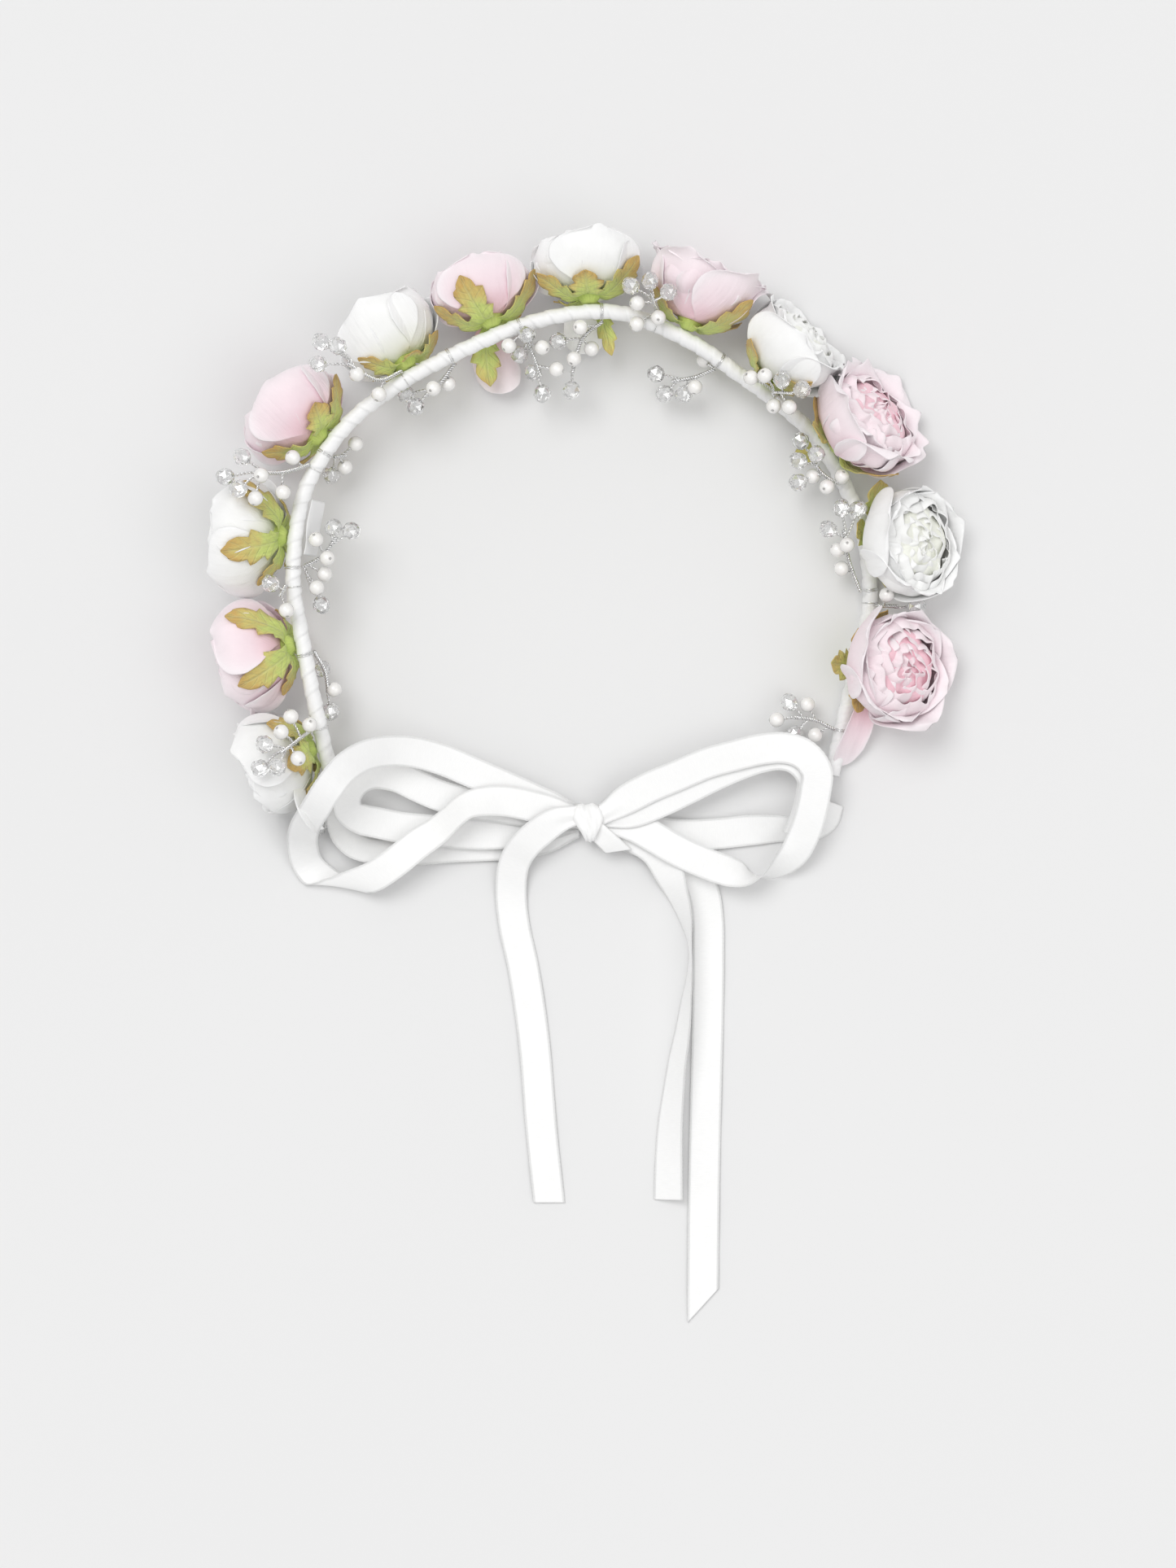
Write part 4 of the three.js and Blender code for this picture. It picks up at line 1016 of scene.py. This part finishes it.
# A sprig is its stem, its pearls and its crystals. It leaves the band at the first point of its stem.
SPRIGS = {
    "a": ([[-58.8, 64.2, 24.6], [-66, 61, 30], [-76, 66, 37]], [[-66, 56.4, 31], [-73.1, 62.8, 34]],
        [[-84.5, 73, 38], [-79, 71.5, 40], [-85.5, 66, 36]]),
    "b": ([[-41.5, 67, 21], [-46, 61, 21], [-51, 56.5, 20]], [[-48.5, 58.6, 26], [-43.8, 60.5, 18]],
        [[-54.3, 53, 20], [-57.5, 57, 17]]),
    "c": ([[-88.8, 33.8, 25], [-97, 31, 32], [-106, 31, 36]],
        [[-94, 36, 29.5], [-103.9, 29.9, 38], [-105.7, 22.5, 38], [-97, 24.6, 33]],
        [[-110.2, 36, 34], [-115.5, 29.5, 36], [-111, 25.5, 40]]),
    "d": ([[-81, 36.5, 19], [-77, 37, 16]], [[-74, 41, 16], [-77.5, 33.5, 14]], [[-82, 31, 12]]),
    "e": ([[-90.5, 1, 20.5], [-85, 4, 21], [-80, 10.5, 22]],
        [[-86.5, 9.5, 26], [-82.9, 3.5, 25.5], [-84, -1.5, 19], [-86.5, -6, 22]],
        [[-81, 13.5, 20], [-75.2, 12.5, 23], [-85, -11.5, 20]]),
    "f": ([[-96.4, -5.5, 25.4], [-98, -9, 30]], [[-96, -13.5, 31]], [[-101, -5, 33]]),
    "g": ([[-87.5, -26.5, 20], [-84, -33, 17], [-83, -40, 14]], [[-81, -39, 14]],
        [[-85, -32.3, 12], [-82.2, -46.1, 12]]),
    "h": ([[-88.2, -52.2, 21.4], [-91.5, -55, 29], [-97.5, -60, 35]],
        [[-94.5, -48, 32], [-97.5, -53, 35.5], [-88.5, -50.6, 29.5], [-92, -61.5, 36]],
        [[-102.8, -57, 38], [-104.1, -64.7, 38], [-98.5, -64.4, 41]]),
    "i": ([[-84.6, -67, 13], [-85.5, -76, 7], [-87, -82, 4]], [], [[-91, -86.2, 3.6], [-86.6, -83.7, 3.6]]),
    "j": ([[6.4, 80.6, 19.5], [0, 75.3, 18], [-3.5, 64, 16]],
        [[-0.8, 78.5, 24.5], [2.8, 72, 16], [-2.9, 68.5, 20]], [[-8, 74.5, 16.5], [-3.7, 58.6, 15]]),
    "k": ([[-19, 76.4, 20.5], [-16.5, 70.5, 19], [-13.8, 63, 17]],
        [[-24, 72.5, 24], [-13.2, 72, 24], [-8.5, 65, 21]],
        [[-18, 76, 26.2], [-20.5, 70, 17], [-16.2, 64.5, 13.5], [-13.2, 57.5, 16]]),
    "l": ([[25.5, 82, 20], [23.5, 85, 26], [22, 89, 30]],
        [[17.6, 86, 30], [24.5, 81.5, 27], [17.5, 79.5, 25.5]],
        [[15.6, 91.5, 31], [21.8, 93, 31], [27.8, 89.5, 32]]),
    "m": ([[42.9, 65.4, 15], [37, 63, 14], [29, 61.5, 13]], [[36.5, 59.5, 15.5], [39.5, 68.5, 11]],
        [[23.9, 63.9, 13], [26.8, 57.5, 12], [33, 57.5, 11.5]]),
    "n": ([[63.8, 55.8, 15.6], [62, 57.5, 23], [68, 57, 28]],
        [[54.5, 62, 28], [59, 62.5, 30.5], [62, 53, 23], [67, 52.5, 26]], [[64.5, 61, 31], [71, 58, 31]]),
    "o": ([[83.5, 28, 10.5], [78.5, 31, 13], [74.5, 36, 15]],
        [[84.5, 30.5, 13.5], [79.5, 27, 16], [75, 30.5, 12]],
        [[71, 42, 14.5], [76, 37.5, 20], [70.3, 35.5, 15], [70.2, 28.5, 14]]),
    "p": ([[90.5, -7, 8.8], [86.8, 3, 12], [84.8, 13, 15]],
        [[84.5, 0.5, 10], [86, 8, 18.5], [83, 6.5, 14]],
        [[84.3, 20, 17], [89.5, 19.5, 18], [80, 13.2, 15]]),
    "q": ([[96.5, -11.5, 9.2], [103, -11.8, 12]], [[99, -8.2, 16]], [[108.9, -11.8, 14]]),
    "r": ([[82.3, -52, 6.5], [76, -49, 7], [69, -48, 8]],
        [[63.3, -48.8, 9], [73.4, -43.8, 7], [76, -53.8, 5]], [[67.5, -43.2, 8], [69.5, -53.5, 4]]),
}
PEARL_RADIUS = 2.5
CRYSTAL_RADIUS = 3.0
BRANCH_BACK = 3.0  # how far before the bead's own place its branch leaves the stem
TWIST_PITCH = 2.4
WIRE_STEP = 0.3  # between the rings of a wire's mesh
STEM_STRANDS = (3, 0.46, 0.27)  # number, distance from the middle line, radius
BRANCH_STRANDS = (2, 0.28, 0.22)


def twisted(sheets, line, strands, spread, radius, twist=0.0):
    """Strands of wire laid round a line, like the two halves of a bent wire twisted together."""
    normals, others = carried(line, [0.28, 0.61, 0.74])
    steps = np.linalg.norm(np.diff(line, axis=0), axis=1)
    angle = FULL_TURN * np.concatenate([[0], np.cumsum(steps)]) / TWIST_PITCH + twist
    for strand in range(strands):
        turn = (angle + FULL_TURN * strand / strands)[:, None]
        tube(sheets, line + spread * circle(turn, normals, others), radius)


def bowed(start, end, bow, rng):
    """A wire's line from start to end with a slight bow, as a hand leaves it."""
    span = end - start
    sideways = unit(np.cross(span, [rng.uniform(-1, 1), rng.uniform(-1, 1), 0.6]))
    length = np.linalg.norm(span)
    t = np.linspace(0, 1, max(6, round(length / WIRE_STEP)))[:, None]
    return start + span * t + sideways * bow * length * np.sin(np.pi * t)


def branch_point(stem, bead):
    """Where a bead's branch leaves the stem: a little before the stem's nearest point to it."""
    best = None
    for start, end in zip(stem, stem[1:], strict=False):
        length = np.linalg.norm(end - start)
        near = float(np.clip(np.dot(bead - start, end - start) / length**2, 0, 1))
        far = np.linalg.norm(start + (end - start) * near - bead)
        if best is None or far < best[0]:
            best = (far, start + (end - start) * max(0.0, near - BRANCH_BACK / length))
    return best[1]


def basis(direction):
    """Two directions square to this one."""
    first = unit(np.cross(direction, [0.37, 0.45, 0.81]))
    return first, np.cross(direction, first)


def pearl(sheets, centre, direction):
    """A drilled pearl: a ball whose two ends dip into the wire's hole."""
    direction = unit(direction)
    first, second = basis(direction)
    angle = np.linspace(0, FULL_TURN, 28, endpoint=False)[None, :, None]
    polar = np.linspace(0.16, np.pi - 0.16, 19)
    r = np.concatenate([[0.16, 0.2], np.sin(polar), [0.2, 0.16]])[:, None, None] * PEARL_RADIUS
    a = np.concatenate([[0.8, 0.94], np.cos(polar), [-0.94, -0.8]])[:, None, None] * PEARL_RADIUS
    points = centre + r * circle(angle, first, second) + a * direction
    start = sheets.grid(points[:, ::-1], wrap=True)
    sheets.close(start, len(r), angle.size, points[0].mean(axis=0), points[-1].mean(axis=0))


# A cut bead's rings of eight corners: share of its radius along the hole, across it, and turn in facets.
CRYSTAL_RINGS = [
    (0.94, 0.34, 0.0), (0.62, 0.78, 0.5), (0.0, 1.0, 0.0), (-0.62, 0.78, 0.5), (-0.94, 0.34, 0.0)
]


def crystal(sheets, centre, direction, spin):
    """A round cut bead: flat ends and three bands of flat facets."""
    direction = unit(direction)
    first, second = basis(direction)
    rings = []
    for a, r, shift in CRYSTAL_RINGS:
        angle = (FULL_TURN * (np.arange(8) + shift) / 8 + spin)[:, None]
        rings.append(centre + CRYSTAL_RADIUS * (a * direction + r * circle(angle, first, second)))
    start = sheets.plain(np.concatenate(rings))
    sheets.faces.append(tuple(start + k for k in range(8)))
    sheets.faces.append(tuple(start + 39 - k for k in range(8)))
    for row in range(4):
        ahead = CRYSTAL_RINGS[row + 1][2] > CRYSTAL_RINGS[row][2]
        for k in range(8):
            a, b = start + row * 8 + k, start + row * 8 + (k + 1) % 8
            c, d = a + 8, b + 8
            if ahead:
                sheets.faces += [(a, c, b), (b, c, d)]
            else:
                sheets.faces += [(a, c, d), (a, d, b)]


def make_sprig(letter, stem, pearl_places, crystal_places):
    rng = random.Random(500 + ord(letter))
    body, slot = f"sprig_{letter}", "silver_and_beads"
    stem = np.array(stem, float) + CENTRE
    wires, pearls, crystals = Sheets(), Sheets(), Sheets()
    route = Route(stem)
    line = route.place(np.linspace(0, 1, max(8, round(route.length / WIRE_STEP))))
    twisted(wires, line, *STEM_STRANDS)
    for radius, places in ((PEARL_RADIUS, pearl_places), (CRYSTAL_RADIUS, crystal_places)):
        for place in places:
            centre = np.array(place, float) + CENTRE
            start = branch_point(list(stem), centre)
            way = unit(centre - start)
            branch = bowed(start, centre - way * radius * 0.86, 0.08, rng)
            twisted(wires, branch, *BRANCH_STRANDS, rng.uniform(0, 6))
            if places is pearl_places:
                pearl(pearls, centre, way)
                tube(wires, centre + way * radius * np.linspace(0.78, 1.06, 5)[:, None], 0.16, sides=6)
            else:
                crystal(crystals, centre, way, rng.uniform(0, 0.8))
                back = np.linspace(0.0, np.pi, 26)[13:, None]
                tube(wires, centre + radius * 1.02 * circle(back, -way, basis(way)[0]), 0.11)
    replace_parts(wires.build(f"{body}_wire", SILVER, body, slot), f"bead_sprig_{letter}")
    if pearl_places:
        pearls.build(f"{body}_pearls", PEARL, body, slot)
    crystals.build(f"{body}_crystals", CRYSTAL, body, slot, smooth=False)


for sprig_letter, sprig_parts in SPRIGS.items():
    make_sprig(sprig_letter, *sprig_parts)


TURNS_RADIUS = 2.72  # of the turns that tie a sprig to the band
TURNS_PITCH = 0.62
TURNS = 1.6


def band_turns():
    """Where each sprig is tied on, its wire takes a few turns round the band."""
    sheets = Sheets()
    shares = np.linspace(0, 1, 1500)
    places = BAND.place(shares)
    for stem, _, _ in SPRIGS.values():
        root = np.array(stem[0], float) + CENTRE
        nearest = int(np.argmin(np.linalg.norm(places - root, axis=1)))
        middle, run = places[nearest], BAND.run(shares[nearest])[0]
        towards = root - middle
        towards = unit(towards - run * np.dot(towards, run))
        other = np.cross(run, towards)
        angle = np.linspace(-FULL_TURN * TURNS, 0, 80)[:, None]
        coil = middle + run * TURNS_PITCH * angle / FULL_TURN + TURNS_RADIUS * circle(angle, towards, other)
        out = coil[-1] + (root - coil[-1]) * np.linspace(0, 1, 8)[1:, None]
        tube(sheets, np.vstack([coil, out]), 0.17)
    sheets.build("sprig_band_turns_wire", SILVER, "crown", "silver_and_beads")


band_turns()


# ---- Floor and light ----

FLOOR_HALF = 8.0  # metres
AIR_GREY = 0.62  # the light from all round
# Soft boxes as (name, where it stands, how wide it looks in degrees, strength).
SUNS = [
    ("softbox_left", (-0.35, 0.42, 1.0), 34, 1.1),
    ("softbox_right", (0.5, -0.2, 1.0), 50, 0.5),
]


def studio():
    floor_mesh = bpy.data.meshes.new("floor")
    corners = [(x * FLOOR_HALF, y * FLOOR_HALF, 0) for x, y in ((-1, -1), (1, -1), (1, 1), (-1, 1))]
    floor_mesh.from_pydata(corners, [], [(0, 1, 2, 3)])
    floor = bpy.data.objects.new("floor", floor_mesh)
    bpy.context.scene.collection.objects.link(floor)
    n = Nodes("studio_paper", Roughness=0.9, Specular_IOR_Level=0.1)
    n.plug(n.shade(n.noise(3, 2), 0.80, 0.81), "Base Color")
    floor_mesh.materials.append(n.material)

    world = bpy.data.worlds.new("studio_air")
    bpy.context.scene.world = world
    world.use_nodes = True
    tree = world.node_tree
    place = tree.nodes.new("ShaderNodeTexCoord")
    split = tree.nodes.new("ShaderNodeSeparateXYZ")
    tree.links.new(place.outputs["Generated"], split.inputs[0])
    ramp = tree.nodes.new("ShaderNodeValToRGB")
    tree.links.new(split.outputs["Z"], ramp.inputs["Fac"])
    for element, height in zip(ramp.color_ramp.elements, (0.0, 0.75), strict=True):
        element.position, element.color = height, (*grey(AIR_GREY), 1)
    tree.links.new(ramp.outputs["Color"], tree.nodes["Background"].inputs["Color"])

    for name, direction, spread, power in SUNS:
        light = bpy.data.objects.new(name, bpy.data.lights.new(name, "SUN"))
        bpy.context.scene.collection.objects.link(light)
        light.data.angle = math.radians(spread)
        light.data.energy = power
        light.location = Vector(direction) * 2
        light.rotation_euler = (-Vector(direction)).to_track_quat("-Z", "Y").to_euler()


studio()
